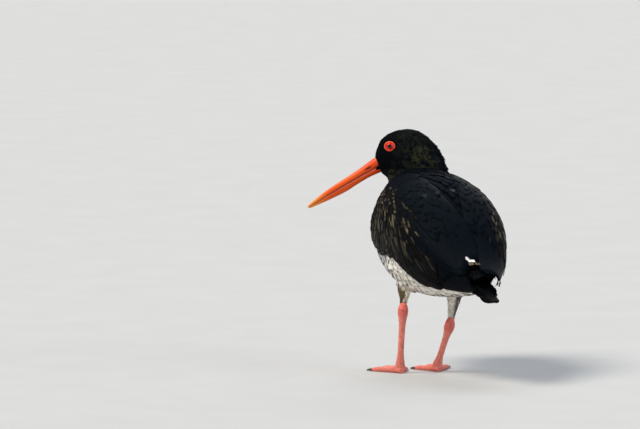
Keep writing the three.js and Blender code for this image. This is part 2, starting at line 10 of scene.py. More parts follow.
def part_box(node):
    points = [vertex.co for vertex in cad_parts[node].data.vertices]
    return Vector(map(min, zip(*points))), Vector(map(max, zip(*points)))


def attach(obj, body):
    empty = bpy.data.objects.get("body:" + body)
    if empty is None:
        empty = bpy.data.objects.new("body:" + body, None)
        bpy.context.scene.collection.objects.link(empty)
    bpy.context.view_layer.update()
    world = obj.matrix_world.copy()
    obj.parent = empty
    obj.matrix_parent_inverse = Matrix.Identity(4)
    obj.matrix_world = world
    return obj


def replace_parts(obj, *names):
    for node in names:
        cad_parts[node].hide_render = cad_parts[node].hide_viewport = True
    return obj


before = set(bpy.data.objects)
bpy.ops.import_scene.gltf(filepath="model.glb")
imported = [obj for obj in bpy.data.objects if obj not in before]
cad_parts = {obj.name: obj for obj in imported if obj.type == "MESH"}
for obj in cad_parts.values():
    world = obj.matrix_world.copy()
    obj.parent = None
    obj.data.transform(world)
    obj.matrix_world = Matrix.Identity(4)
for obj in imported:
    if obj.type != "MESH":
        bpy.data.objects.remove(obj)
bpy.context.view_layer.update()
MM = 0.001
rng = np.random.default_rng(1148)
rad = math.radians


# Curves and small vector helpers

def curve(points):
    """A smooth curve y(x) through [x, y] pairs with x rising."""
    xs, ys = np.array(points, float).T
    before = np.maximum(np.arange(len(xs)) - 1, 0)
    after = np.minimum(np.arange(len(xs)) + 1, len(xs) - 1)
    slopes = (ys[after] - ys[before]) / (xs[after] - xs[before])

    def value(x):
        x = np.clip(x, xs[0], xs[-1])
        i = np.clip(np.searchsorted(xs, x, side="right") - 1, 0, len(xs) - 2)
        w = xs[i + 1] - xs[i]
        t = (x - xs[i]) / w
        t2, t3 = t * t, t * t * t
        return (
            (2 * t3 - 3 * t2 + 1) * ys[i]
            + (t3 - 2 * t2 + t) * w * slopes[i]
            + (3 * t2 - 2 * t3) * ys[i + 1]
            + (t3 - t2) * w * slopes[i + 1]
        )

    return value


def lerp(a, b, t):
    return a + (b - a) * t


def smooth(low, high, x):
    t = np.clip((x - low) / (high - low), 0, 1)
    return t * t * (3 - 2 * t)


def unit(v):
    return v / np.maximum(np.linalg.norm(v, axis=-1, keepdims=True), 1e-9)


def distance(p, q):
    return np.linalg.norm(p - q, axis=-1)


def at(left, forward, up):
    """Points from distances to the bird's left, forward and up, in millimetres."""
    left, forward, up = np.broadcast_arrays(left, forward, up)
    return np.stack([left, -forward, up], axis=-1).astype(float)


def value_noise(p, scale, seed=0):
    """Smooth noise from -1 to 1 at points p, with a cell of the given size."""
    q = p / scale + 100.0
    base = np.floor(q).astype(np.int64)
    t = q - base
    t = t * t * (3 - 2 * t)
    total = 0.0
    for dx, dy, dz in np.ndindex(2, 2, 2):
        n = (base[..., 0] + dx) * 374761393 + (base[..., 1] + dy) * 668265263
        n = n + (base[..., 2] + dz) * 2147483647 + seed * 974711
        n = (n ^ (n >> 13)) * 1274126177 & 0x7FFFFFFF
        corner = (n ^ (n >> 16)) % 10007 / 5003.0 - 1
        wx, wy, wz = (t[..., k] if d else 1 - t[..., k] for k, d in enumerate((dx, dy, dz)))
        total = total + corner * (wx * wy * wz)
    return total


# The body's outline, as in the solids

BODY_SQUARENESS = 2.45
back_height = curve([
    [-160, 91], [-135, 98], [-115, 107], [-95, 121], [-70, 145], [-40, 168],
    [-10, 182], [20, 188], [50, 189], [103, 180],
])
belly_height = curve([
    [-160, 86], [-135, 84], [-115, 83], [-95, 81], [-70, 77.5], [-40, 74],
    [-10, 73], [20, 75], [56, 84], [103, 97],
])
widest_height = curve([
    [-160, 89], [-135, 93], [-115, 98], [-95, 106], [-70, 117], [-40, 126],
    [-10, 128], [20, 126], [56, 125], [103, 128],
])
half_width = curve([
    [-160, 6], [-135, 10], [-110, 18], [-80, 35], [-60, 44], [-40, 50],
    [-10, 52.5], [20, 48.5], [56, 42], [103, 33],
])
wing_top = curve([[-140, 5], [-115, 6], [-80, 8], [-40, 14], [0, 22], [30, 30], [60, 46], [80, 72]])
wing_low = curve([
    [-140, 100], [-125, 122], [-110, 134], [-90, 134], [-73, 127], [-53, 117], [-40, 108], [-25, 101],
    [0, 98], [20, 99], [38, 98], [60, 93], [80, 88],
])


def power(x):
    return np.sign(x) * np.abs(x) ** (2 / BODY_SQUARENESS)


def outline(forward, angle):
    middle = widest_height(forward)
    cosine = np.cos(angle)
    reach = np.where(cosine > 0, back_height(forward) - middle, middle - belly_height(forward))
    return at(half_width(forward) * power(np.sin(angle)), forward, middle + reach * power(cosine))


def body_normal(forward, angle):
    along = outline(forward + 1, angle) - outline(forward - 1, angle)
    around = outline(forward, angle + 0.01) - outline(forward, angle - 0.01)
    return unit(np.cross(along, around))


def over(forward, angle, height):
    return outline(forward, angle) + body_normal(forward, angle) * np.asarray(height)[..., None]


def wing_angle(forward, share):
    return np.radians(lerp(wing_top(forward), wing_low(forward), share))


# Head and bill frames

HEAD_TURN = rad(70)
NECK_FORWARD = 66
BILLWARD = np.array([math.sin(HEAD_TURN), -math.cos(HEAD_TURN), 0.0])
HEAD_LEFT = unit(np.cross([0.0, 0.0, 1.0], BILLWARD))
HEAD_ORIGIN = np.array([0, -NECK_FORWARD, 0.0]) - BILLWARD * NECK_FORWARD * math.cos(HEAD_TURN)


def in_head(towards_bill, up, depth):
    towards_bill, up, depth = (np.asarray(v, float)[..., None] for v in (towards_bill, up, depth))
    return HEAD_ORIGIN + BILLWARD * towards_bill + HEAD_LEFT * depth + np.array([0, 0, 1.0]) * up


BILL_DROP = rad(31.5)
BILL_BASE = (55.6, 191.4)
BILL_LENGTH = 78
EYE_PLACE = (43.6, 210.4)
EYE_DEPTH = 12.6
EYE_RADIUS = 4.5
EYE_RING_RADIUS = 5.4


def in_bill(along, rise, depth):
    return in_head(
        BILL_BASE[0] + math.cos(BILL_DROP) * along + math.sin(BILL_DROP) * rise,
        BILL_BASE[1] - math.sin(BILL_DROP) * along + math.cos(BILL_DROP) * rise,
        depth,
    )


eye_low, eye_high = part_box("eye_left")
SHIFT = np.array((eye_low + eye_high) / 2) / MM - in_head(*EYE_PLACE, EYE_DEPTH)
SHIFT[2] = 0


def to_world(p):
    return (p + SHIFT) * MM


def from_world(p):
    return p / MM - SHIFT


# Building meshes from arrays

# Each feather has its own patch of the flat map, this wide and high.
PATCH = 0.003


def add_object(name, data):
    made = bpy.data.objects.new(name, data)
    bpy.context.scene.collection.objects.link(made)
    return made


def read_rows(items, key, size=3, kind=np.float32):
    """One row of numbers for each vertex, loop or triangle of a mesh."""
    values = np.empty(len(items) * size, kind)
    items.foreach_get(key, values)
    return values.reshape(-1, size)


def read_points(mesh):
    """A mesh's points in millimetres."""
    return from_world(read_rows(mesh.vertices, "co").astype(float))


def write_tint(mesh, tint):
    rgba = np.ones((len(mesh.vertices), 4), np.float32)
    rgba[:, :3] = tint.reshape(-1, 3)
    mesh.color_attributes.new("tint", "FLOAT_COLOR", "POINT").data.foreach_set("color", rgba.ravel())


def shade_smooth(mesh):
    mesh.polygons.foreach_set("use_smooth", [True] * len(mesh.polygons))


def make_mesh(name, points, faces, material, uvs, tint=None):
    """A piece from points in millimetres and faces, which are an array of quads or a list of lists."""
    mesh = bpy.data.meshes.new(name)
    world = to_world(points.reshape(-1, 3))
    if isinstance(faces, np.ndarray):
        count, corners = faces.shape
        mesh.vertices.add(len(world))
        mesh.vertices.foreach_set("co", world.astype(np.float32).ravel())
        mesh.loops.add(count * corners)
        mesh.loops.foreach_set("vertex_index", faces.astype(np.int32).ravel())
        mesh.polygons.add(count)
        mesh.polygons.foreach_set("loop_start", np.arange(count, dtype=np.int32) * corners)
        mesh.update(calc_edges=True)
    else:
        mesh.from_pydata([tuple(p) for p in world], [], faces)
    shade_smooth(mesh)
    if tint is not None:
        write_tint(mesh, tint)
    index = read_rows(mesh.loops, "vertex_index", 1, np.int32)[:, 0]
    for key, uv in uvs.items():
        layer = mesh.uv_layers.new(name=key)
        layer.data.foreach_set("uv", uv.reshape(-1, 2)[index].astype(np.float32).ravel())
    mesh.validate()
    mesh.update()
    made = add_object(name, mesh)
    mesh.materials.append(material)
    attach(made, "root")
    return made


def grid_faces(count, rows, columns):
    """Quads of count separate grids of rows by columns points."""
    i, j = np.meshgrid(np.arange(rows - 1), np.arange(columns - 1), indexing="ij")
    a = (i * columns + j).ravel()
    quad = np.stack([a, a + columns, a + columns + 1, a + 1], axis=-1)
    return (np.arange(count)[:, None, None] * rows * columns + quad).reshape(-1, 4)


def tube_faces(rows, columns):
    """Quads of one grid that closes on itself across its columns."""
    i, j = np.meshgrid(np.arange(rows - 1), np.arange(columns), indexing="ij")
    a = (i * columns + j).ravel()
    b = (i * columns + (j + 1) % columns).ravel()
    return np.stack([a, b, b + columns, a + columns], axis=-1)


def vane_grid(count, along, across):
    """Each point's place on its feather: across and along it, both from 0 to 1."""
    along, across = np.meshgrid(along, (across + 1) / 2, indexing="ij")
    return np.broadcast_to(np.stack([across, along], -1), (count, *along.shape, 2))


def patches(roots, vane):
    """The flat map of feathers, a small patch for each at its root's place."""
    return roots[:, None, None] + (vane - 0.5) * PATCH


# Materials

class Nodes:
    """Short helpers for one material's node tree."""

    def __init__(self, name):
        self.material = bpy.data.materials.new(name)
        self.material.use_nodes = True
        self.tree = self.material.node_tree
        self.shader = self.tree.nodes["Principled BSDF"]

    def node(self, kind, **values):
        made = self.tree.nodes.new(kind)
        for key, value in values.items():
            setattr(made, key, value)
        return made

    def link(self, source, target):
        self.tree.links.new(source, target)

    def put(self, target, value):
        if hasattr(value, "is_output"):
            self.link(value, target)
        else:
            target.default_value = value

    def math(self, operation, *values, clamp=False):
        made = self.node("ShaderNodeMath", operation=operation, use_clamp=clamp)
        for socket, value in zip(made.inputs, values):
            self.put(socket, value)
        return made.outputs[0]

    def times(self, value, factor, plus):
        return self.math("MULTIPLY_ADD", value, factor, plus)

    def ramp(self, factor, stops):
        made = self.node("ShaderNodeValToRGB")
        self.link(factor, made.inputs[0])
        elements = made.color_ramp.elements
        while len(elements) < len(stops):
            elements.new(0.5)
        for element, (place, color) in zip(elements, stops):
            element.position = place
            element.color = (*color, 1)
        return made.outputs[0]

    def noise(self, scale, detail=3, vector=None, distortion=0.0):
        made = self.node("ShaderNodeTexNoise")
        made.inputs["Scale"].default_value = scale
        made.inputs["Detail"].default_value = detail
        made.inputs["Distortion"].default_value = distortion
        if vector is None:
            vector = self.node("ShaderNodeTexCoord").outputs["Object"]
        self.link(vector, made.inputs["Vector"])
        return made.outputs["Fac"]

    def bump(self, height, strength, depth, under=None):
        made = self.node("ShaderNodeBump")
        made.inputs["Strength"].default_value = strength
        made.inputs["Distance"].default_value = depth
        self.link(height, made.inputs["Height"])
        if under is not None:
            self.link(under, made.inputs["Normal"])
        return made.outputs[0]

    def tint(self, level):
        """The colour that comes with each point, times a level."""
        color = self.node("ShaderNodeVertexColor", layer_name="tint").outputs["Color"]
        made = self.node("ShaderNodeMix", data_type="RGBA", blend_type="MULTIPLY")
        sockets = {socket.name: socket for socket in made.inputs if socket.enabled}
        sockets["Factor"].default_value = 1.0
        self.link(color, sockets["A"])
        self.link(level, sockets["B"])
        return next(socket for socket in made.outputs if socket.enabled)

    def finish(self, color, roughness, specular, normal=None, **others):
        values = {"Base Color": color, "Roughness": roughness, "Specular IOR Level": specular}
        if normal is not None:
            values["Normal"] = normal
        for key, value in others.items():
            values[key.replace("_", " ").title()] = value
        for key, value in values.items():
            self.put(self.shader.inputs[key], value)
        return self.material


def plumage_material(name, roughness, specular, barb_depth):
    """Feathers: the tint comes with each vane, and the barbs run out from its shaft."""
    m = Nodes(name)
    vane = m.node("ShaderNodeUVMap", uv_map="Vane")
    parts = m.node("ShaderNodeSeparateXYZ")
    m.link(vane.outputs[0], parts.inputs[0])
    out = m.math("ABSOLUTE", m.math("SUBTRACT", parts.outputs[0], 0.5))
    slant = m.math("SUBTRACT", m.math("MULTIPLY", parts.outputs[1], 70.0), m.math("MULTIPLY", out, 60.0))
    barbs = m.times(m.math("SINE", slant), 0.5, 0.5)
    shaft = m.math("SUBTRACT", 1.0, m.math("MULTIPLY", out, 22.0), clamp=True)
    fine = m.noise(900.0, 2)
    level = m.times(barbs, 0.28, m.times(fine, 0.5, 0.62))
    rough = m.times(fine, 0.25, roughness - 0.1)
    height = m.math("ADD", barbs, m.math("MULTIPLY", shaft, 1.6))
    return m.finish(m.tint(level), rough, specular, m.bump(height, 0.55, barb_depth))


plumage = plumage_material("plumage", 0.6, 0.02, 0.00010)
flight_plumage = plumage_material("flight_plumage", 0.5, 0.025, 0.00016)


def skin_material():
    m = Nodes("skin")
    fine = m.noise(500.0, 4)
    return m.finish(m.tint(m.times(fine, 0.8, 0.5)), 0.8, 0.3, m.bump(fine, 0.5, 0.0006))


def bill_material():
    """Horn with faint streaks along the bill."""
    m = Nodes("bill")
    stretch = m.node("ShaderNodeMapping")
    stretch.inputs["Scale"].default_value = (9, 1.1, 1)
    m.link(m.node("ShaderNodeUVMap", uv_map="Vane").outputs[0], stretch.inputs["Vector"])
    streaks = m.noise(9.0, 4, stretch.outputs[0], 0.4)
    grain = m.noise(420.0, 3)
    return m.finish(
        m.tint(m.times(streaks, 0.5, 0.74)), m.times(grain, 0.22, 0.26), 0.3,
        m.bump(streaks, 0.35, 0.0003, m.bump(grain, 0.2, 0.0002)),
        subsurface_weight=0.06, subsurface_radius=(1.0, 0.3, 0.05), subsurface_scale=0.002,
    )


def ring_material():
    m = Nodes("eye_ring")
    cells = m.node("ShaderNodeTexVoronoi")
    cells.inputs["Scale"].default_value = 1700.0
    m.link(m.node("ShaderNodeTexCoord").outputs["Object"], cells.inputs["Vector"])
    grain = cells.outputs["Distance"]
    color = m.ramp(grain, [(0.0, (1.0, 0.16, 0.03)), (0.9, (0.72, 0.045, 0.012))])
    return m.finish(color, 0.42, 0.5, m.bump(grain, 0.5, 0.0002))


def eye_material():
    """Iris and pupil under a clear wet front."""
    m = Nodes("iris")
    color = m.tint(m.times(m.noise(1500.0, 4), 0.6, 0.7))
    return m.finish(color, 0.15, 0.3, coat_weight=0.25, coat_roughness=0.03)


def leg_material():
    """Skin covered in small many-sided scales."""
    m = Nodes("leg")
    squash = m.node("ShaderNodeMapping")
    squash.inputs["Scale"].default_value = (1.0, 1.0, 0.8)
    m.link(m.node("ShaderNodeTexCoord").outputs["Object"], squash.inputs["Vector"])
    cells = m.node("ShaderNodeTexVoronoi", feature="DISTANCE_TO_EDGE")
    cells.inputs["Scale"].default_value = 620.0
    cells.inputs["Randomness"].default_value = 0.75
    m.link(squash.outputs[0], cells.inputs["Vector"])
    plates = m.math("MULTIPLY", cells.outputs["Distance"], 5.0, clamp=True)
    grain = m.noise(260.0, 3)
    shade = m.times(plates, 0.45, m.times(grain, 0.5, 0.42))
    return m.finish(
        m.tint(shade), m.times(grain, 0.2, 0.36), 0.45, m.bump(plates, 0.6, 0.00035),
        subsurface_weight=0.1, subsurface_radius=(1.0, 0.4, 0.3), subsurface_scale=0.0015,
    )


def claw_material():
    m = Nodes("claw")
    grain = m.noise(700.0, 3)
    color = m.ramp(grain, [(0.3, (0.018, 0.014, 0.013)), (0.8, (0.09, 0.07, 0.06))])
    return m.finish(color, 0.38, 0.5, m.bump(grain, 0.2, 0.0002))


def floor_material():
    m = Nodes("floor")
    color = m.ramp(m.noise(14.0, 3), [(0.2, (0.5, 0.5, 0.5)), (0.8, (0.53, 0.53, 0.53))])
    return m.finish(color, 0.9, 0.2)


# Camera: parallel to the line of sight, set aside so that the bird lands where the photograph has it

VIEW_TURN, VIEW_RISE = rad(160), rad(5)
DISTANCE = 6.0
PIXEL = 0.95 * MM
PICTURE_WIDTH, PICTURE_HEIGHT = 640, 429
# The point on the floor below the body, and where the picture has it.
ANCHOR = to_world(at(6, 30, 0))
ANCHOR_COLUMN, ANCHOR_LINE = 419.3, 369
SENSOR = 36
BACK = np.array([
    math.sin(VIEW_TURN) * math.cos(VIEW_RISE),
    -math.cos(VIEW_TURN) * math.cos(VIEW_RISE),
    math.sin(VIEW_RISE),
])
RIGHT = unit(np.cross(-BACK, [0, 0, 1.0]))
UP = np.cross(RIGHT, -BACK)


def look_along(made, direction):
    made.rotation_euler = Vector(direction).to_track_quat("-Z", "Y").to_euler()


def set_camera():
    camera = add_object("camera", bpy.data.cameras.new("camera"))
    camera.data.sensor_width = SENSOR
    camera.data.lens = SENSOR * DISTANCE / (PICTURE_WIDTH * PIXEL)
    camera.data.clip_end = 40
    aside = RIGHT * (PICTURE_WIDTH / 2 - ANCHOR_COLUMN) * PIXEL
    raised = UP * (ANCHOR_LINE - PICTURE_HEIGHT / 2) * PIXEL
    camera.location = ANCHOR + aside + raised + BACK * DISTANCE
    look_along(camera, -BACK)
    bpy.context.scene.camera = camera


set_camera()


# Lights and floor

def soft_light(name, towards_light, strength, spread, color):
    """A distant lamp with a wide disc, so that it lights the whole floor evenly and softly."""
    data = bpy.data.lights.new(name, "SUN")
    data.energy = strength
    data.angle = spread
    data.color = color
    lamp = add_object(name, data)
    direction = unit(towards_light)
    lamp.location = direction * 3
    look_along(lamp, -direction)


soft_light("key", -RIGHT * 0.9 + BACK * 0.55 + UP * 1.25, 2.9, rad(24), (1.0, 0.95, 0.86))
soft_light("fill", RIGHT * 1.3 + BACK * 0.7 + UP * 0.7, 0.75, rad(38), (0.72, 0.84, 1.0))
soft_light("top", UP * 1.0 - BACK * 0.45, 1.1, rad(40), (0.86, 0.93, 1.0))
soft_light("front", -BACK * 1.0 + UP * 0.5 + RIGHT * 0.3, 0.5, rad(36), (1.0, 0.97, 0.92))

studio = bpy.data.worlds.new("studio")
bpy.context.scene.world = studio
studio.use_nodes = True
background = studio.node_tree.nodes["Background"]
background.inputs["Color"].default_value = (0.78, 0.8, 0.84, 1)
background.inputs["Strength"].default_value = 0.34
bpy.context.scene.view_settings.view_transform = "Standard"

FLOOR_RADIUS = 14.0


def make_floor():
    """A pale round floor, so wide that no horizon shows from a raised camera on any side."""
    corners = 64
    turns = np.linspace(0, 2 * math.pi, corners, endpoint=False)
    edge = [(FLOOR_RADIUS * math.cos(a), FLOOR_RADIUS * math.sin(a), 0) for a in turns]
    mesh = bpy.data.meshes.new("floor")
    mesh.from_pydata(edge, [], [list(range(corners))])
    mesh.materials.append(floor_material())
    add_object("floor", mesh)


make_floor()


# Markings and painted light, shared by skin and coat

BLACK = np.array([0.0026, 0.0029, 0.0036])
# A painted sheen: the blue of a painted sky reflection on the black plumage.
SKY_SHEEN_BLACK = np.array([0.0011, 0.0028, 0.0052])
OLIVE = np.array([0.033, 0.033, 0.018])
BUFF = np.array([0.19, 0.165, 0.100])
BROWN = np.array([0.045, 0.028, 0.016])
# A painted highlight: pale feather tips that stand in for glints of light.
GLINT = np.array([0.070, 0.095, 0.120])
WHITE = np.array([0.80, 0.79, 0.76])
CREAM = np.array([0.78, 0.70, 0.56])
belly_edge = curve([
    [-125, 83], [-100, 86], [-60, 100], [-30, 108], [0, 112], [38, 110], [62, 104], [95, 98], [108, 94],
])

# Places of the painted olive sheen on the head, a painted highlight of light on its black feathers: along,
# up, radius and amount.
CHEEK_SHEEN_SPOTS = (
    (13, 200, 19, 0.95), (2, 190, 16, 0.6), (24, 210, 24, 0.34), (40, 176, 16, 1.0), (28, 192, 18, 0.4),
)


def blend(base, color, amount):
    return base + (color - base) * np.asarray(amount)[..., None]


def spot(p, middle, radius):
    """1 round a middle point, falling smoothly to 0 at the radius."""
    return smooth(radius, 0.35 * radius, distance(p, middle))


# Each thigh's middle line, from the hip to the ankle, on the left (1) and the right (-1).
THIGHS = {
    1: (at(26, 12, 98), at(37, -8, 62)),
    -1: (at(-20, -6, 96), at(-3.2, -26, 47)),
}
THIGH_REAR = unit(at(-0.9, -0.4, 0))


def from_thigh(p):
    """The way from the middle line of the nearer thigh to points p, in millimetres."""
    away = []
    for hip, ankle in THIGHS.values():
        t = np.clip((p[..., 2] - ankle[2]) / (hip[2] - ankle[2]), -0.2, 1.2)
        away.append(p - ankle - t[..., None] * (hip - ankle))
    nearer = (np.linalg.norm(away[0], axis=-1) < np.linalg.norm(away[1], axis=-1))[..., None]
    return np.where(nearer, away[0], away[1])


def thigh_share(p):
    """How much a point belongs to a feathered thigh rather than to the belly."""
    return smooth(13, 9, np.linalg.norm(from_thigh(p), axis=-1)) * smooth(90, 80, p[..., 2])


def body_tint(p):
    """The plumage colour at points p of the bird, in millimetres, with its painted sheen, highlights and
    shadow.
    """
    left, forward, up = p[..., 0], -p[..., 1], p[..., 2]
    mottle = value_noise(p, 4.5, 1)
    broad = value_noise(p, 15.0, 2)
    streaky = value_noise(p * [1, 0.45, 0.6], 1.7, 5)
    tint = np.broadcast_to(BLACK, p.shape).copy()
    # Painted sheen: the upper back is tinted blue, a painted reflection of the sky.
    tint = blend(tint, SKY_SHEEN_BLACK, smooth(120, 150, up) * smooth(75, 40, forward))
    # Painted highlight: an olive sheen on the cheeks and nape, where light catches the black head feathers.
    cheek_sheen = np.zeros(left.shape)
    for side in (1, -1):
        for along, height, radius, amount in CHEEK_SHEEN_SPOTS:
            depth = side * lerp(17.0, 12.0, along / 50)
            cheek_sheen = np.maximum(cheek_sheen, amount * spot(p, in_head(along, height, depth), radius))
    tint = blend(tint, OLIVE, cheek_sheen * np.clip(0.42 + 0.85 * streaky + 0.25 * mottle, 0, 1))
    throat = spot(p, at(28, 55, 176), 17) * np.clip(0.15 + 1.3 * streaky, 0, 1)
    tint = blend(tint, lerp(OLIVE, BUFF, 0.3), throat * 0.7)
    edge = belly_edge(forward) + 2.6 * broad + 3.2 * mottle
    white = smooth(1.6, -1.0, up - edge) * (forward > -132) * (1 - spot(p, at(-35, -76, 92), 17))
    smudge = smooth(6, 0, up - edge) * (1 - white) * np.clip(0.3 + mottle, 0, 1) * smooth(-90, -70, forward)
    tint = blend(tint, BROWN, smudge)
    tint = blend(tint, WHITE, white)
    tint = blend(tint, CREAM, white * smooth(30, -10, forward) * 0.55)
    near_edge = smooth(-13, -2, up - edge) * smooth(10, 30, forward)
    tint = blend(tint, BROWN * 0.5, white * near_edge * smooth(0.1, 0.45, streaky) * 0.4)
    thigh = thigh_share(p)
    behind = (from_thigh(p) * THIGH_REAR).sum(-1)
    # Painted shadow: the rear side of the right thigh is darkened to a near-black brown, where it lies in
    # shade.
    rear = smooth(0.5, 3.0, behind) * (left < 12) * smooth(80, 72, up)
    tint = blend(tint, lerp(BROWN, WHITE, 0.08), thigh * rear * np.clip(0.85 + 0.5 * mottle, 0, 1))
    cuff = thigh * (left > 12) * smooth(88, 80, up)
    tint = blend(tint, CREAM * 0.8, cuff * 0.7)
    outer = np.clip(0.75 + 0.8 * mottle - 0.22 * behind, 0, 1)
    return blend(tint, lerp(BROWN, BUFF, 0.3), cuff * outer)


# The skin: one surface over torso, neck, head and thighs, inside them by the coat's depth

FLESH = ["torso", "neck", "head", "tibia_left", "tibia_right"]
BILL_POINT = in_head(*BILL_BASE, 0)


def coat_depth(p):
    """How far the skin lies inside the solids, in millimetres."""
    from_bill = distance(p, BILL_POINT)
    depth = lerp(0.7, 1.7, smooth(8, 35, from_bill))
    depth = lerp(depth, 2.4, smooth(50, 90, from_bill))
    return lerp(depth, 1.2, thigh_share(p))


def remeshed(name, nodes, voxel, passes, grow=0.0):
    """One smooth surface over several solids, with sizes in millimetres."""
    shape = bmesh.new()
    for node in nodes:
        shape.from_mesh(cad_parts[node].data)
    mesh = bpy.data.meshes.new(name)
    shape.to_mesh(mesh)
    shape.free()
    made = add_object(name, mesh)
    if grow:
        swell = made.modifiers.new("grow", "DISPLACE")
        swell.strength = grow * MM
        swell.mid_level = 0.0
    remesh = made.modifiers.new("remesh", "REMESH")
    remesh.mode = "VOXEL"
    remesh.voxel_size = voxel * MM
    relax = made.modifiers.new("relax", "SMOOTH")
    relax.factor = 0.5
    relax.iterations = passes
    graph = bpy.context.evaluated_depsgraph_get()
    made.data = bpy.data.meshes.new_from_object(made.evaluated_get(graph))
    made.modifiers.clear()
    made.data.materials.clear()
    shade_smooth(made.data)
    return made


def make_skin():
    made = remeshed("skin", FLESH, 1.5, 6)
    baked = made.data
    points = read_points(baked)
    points = points - read_rows(baked.vertices, "normal") * coat_depth(points)[:, None]
    baked.vertices.foreach_set("co", to_world(points).astype(np.float32).ravel())
    write_tint(baked, body_tint(points))
    baked.update()
    baked.materials.append(skin_material())
    bpy.context.view_layer.objects.active = made
    made.select_set(True)
    bpy.ops.object.mode_set(mode="EDIT")
    bpy.ops.mesh.select_all(action="SELECT")
    bpy.ops.uv.smart_project(angle_limit=rad(66), island_margin=0.004)
    bpy.ops.object.mode_set(mode="OBJECT")
    baked.uv_layers[0].name = "OFBake"
    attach(made, "root")
    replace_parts(made, *FLESH)
    return made


skin = make_skin()


class Surface:
    """Nearest points, normals and unwrapped places on the skin, in millimetres."""

    def __init__(self, made):
        mesh = made.data
        mesh.calc_loop_triangles()
        self.points = read_points(mesh)
        self.normals = read_rows(mesh.vertices, "normal").astype(float)
        self.triangles = read_rows(mesh.loop_triangles, "vertices", 3, np.int32)
        loops = read_rows(mesh.loop_triangles, "loops", 3, np.int32)
        self.uv = read_rows(mesh.uv_layers["OFBake"].data, "uv", 2)[loops]
        self.tree = BVHTree.FromPolygons(
            [Vector(p) for p in self.points], self.triangles.tolist(), all_triangles=True)

    def weights(self, index, p):
        a, b, c = (self.points[self.triangles[index, k]] for k in range(3))
        v0, v1, v2 = b - a, c - a, p - a
        d00, d01, d11 = (v0 * v0).sum(-1), (v0 * v1).sum(-1), (v1 * v1).sum(-1)
        d20, d21 = (v2 * v0).sum(-1), (v2 * v1).sum(-1)
        det = np.maximum(d00 * d11 - d01 * d01, 1e-12)
        v, w = (d11 * d20 - d01 * d21) / det, (d00 * d21 - d01 * d20) / det
        weights = np.clip(np.stack([1 - v - w, v, w], axis=-1), 0, 1)
        return weights / weights.sum(-1, keepdims=True)

    def nearest(self, p):
        """Nearest surface points, smooth normals and unwrapped places for points p."""
        flat = p.reshape(-1, 3)
        found = np.empty_like(flat)
        index = np.empty(len(flat), np.int64)
        for i, q in enumerate(flat.tolist()):
            place, _, face, _ = self.tree.find_nearest(q)
            found[i] = place
            index[i] = face
        weights = self.weights(index, found)[..., None]
        normal = unit((self.normals[self.triangles[index]] * weights).sum(1))
        uv = (self.uv[index] * weights).sum(1)
        return found.reshape(p.shape), normal.reshape(p.shape), uv.reshape(*p.shape[:-1], 2)

    def scatter(self, keep):
        """Roots spread over the surface, at least a gap apart, where keep(p) holds."""
        corners = self.points[self.triangles]
        areas = np.linalg.norm(
            np.cross(corners[:, 1] - corners[:, 0], corners[:, 2] - corners[:, 0]), axis=-1) / 2
        middles = corners.mean(1)
        chance = np.where(keep(middles), areas / root_gap(middles) ** 2, 0)
        total = int(chance.sum() * TRIES)
        picks = rng.choice(len(areas), total, p=chance / chance.sum())
        r1, r2 = np.sqrt(rng.random(total)), rng.random(total)
        c = corners[picks]
        shares = np.stack([1 - r1, r1 * (1 - r2), r1 * r2], -1)[..., None]
        p = c[:, 0] * shares[:, 0] + c[:, 1] * shares[:, 1] + c[:, 2] * shares[:, 2]
        gaps = root_gap(p)
        cell = float(gaps.max())
        taken = {}
        kept = []
        keys = np.floor(p / cell).astype(int)
        for i, (q, gap_i, key) in enumerate(zip(p.tolist(), gaps.tolist(), keys.tolist())):
            near = (
                other
                for x in (key[0] - 1, key[0], key[0] + 1)
                for y in (key[1] - 1, key[1], key[1] + 1)
                for z in (key[2] - 1, key[2], key[2] + 1)
                for other in taken.get((x, y, z), ())
            )
            limit = gap_i * gap_i
            if all((q[0] - o[0]) ** 2 + (q[1] - o[1]) ** 2 + (q[2] - o[2]) ** 2 > limit for o in near):
                taken.setdefault(tuple(key), []).append(q)
                kept.append(i)
        return p[kept]


surface = Surface(skin)


# The coat

# Roots stand apart by at least this share of a feather's length.
GAP_SHARE = 0.30
# So many places are tried on each patch as large as the gap squared.
TRIES = 9


def lie(p, normal):
    """Which way the feathers lie at points p: from the bill back over head and neck, then tailwards."""
    from_bill = p - (BILL_POINT - BILLWARD * 2)
    far = np.linalg.norm(from_bill, axis=-1)
    inward = -0.10 * np.sign(p[..., 0]) * smooth(20, -60, -p[..., 1])
    tailward = np.stack([inward, np.ones(far.shape), np.full(far.shape, -0.32)], axis=-1)
    flow = lerp(unit(from_bill), unit(tailward), smooth(42, 85, far)[..., None])
    thigh = thigh_share(p)[..., None]
    flow = lerp(flow, np.array([0, 0.25, -1.0]), thigh)
    flow = flow - normal * (flow * normal).sum(-1, keepdims=True)
    return unit(flow)


length_from_bill = curve([
    [0, 1.5], [8, 2.1], [20, 3.4], [40, 5.4], [60, 8.0], [85, 12.0], [120, 13.5], [260, 13.5],
])


def feather_length(p):
    size = length_from_bill(distance(p, BILL_POINT))
    size = size * lerp(0.5, 1, smooth(-104, -78, -p[..., 1]))
    return lerp(size, 5.5, thigh_share(p))


def root_gap(p):
    return feather_length(p) * GAP_SHARE


WIDTH_SHARE = curve([[0, 0.42], [0.3, 0.85], [0.62, 1.0], [0.85, 0.72], [1, 0.16]])


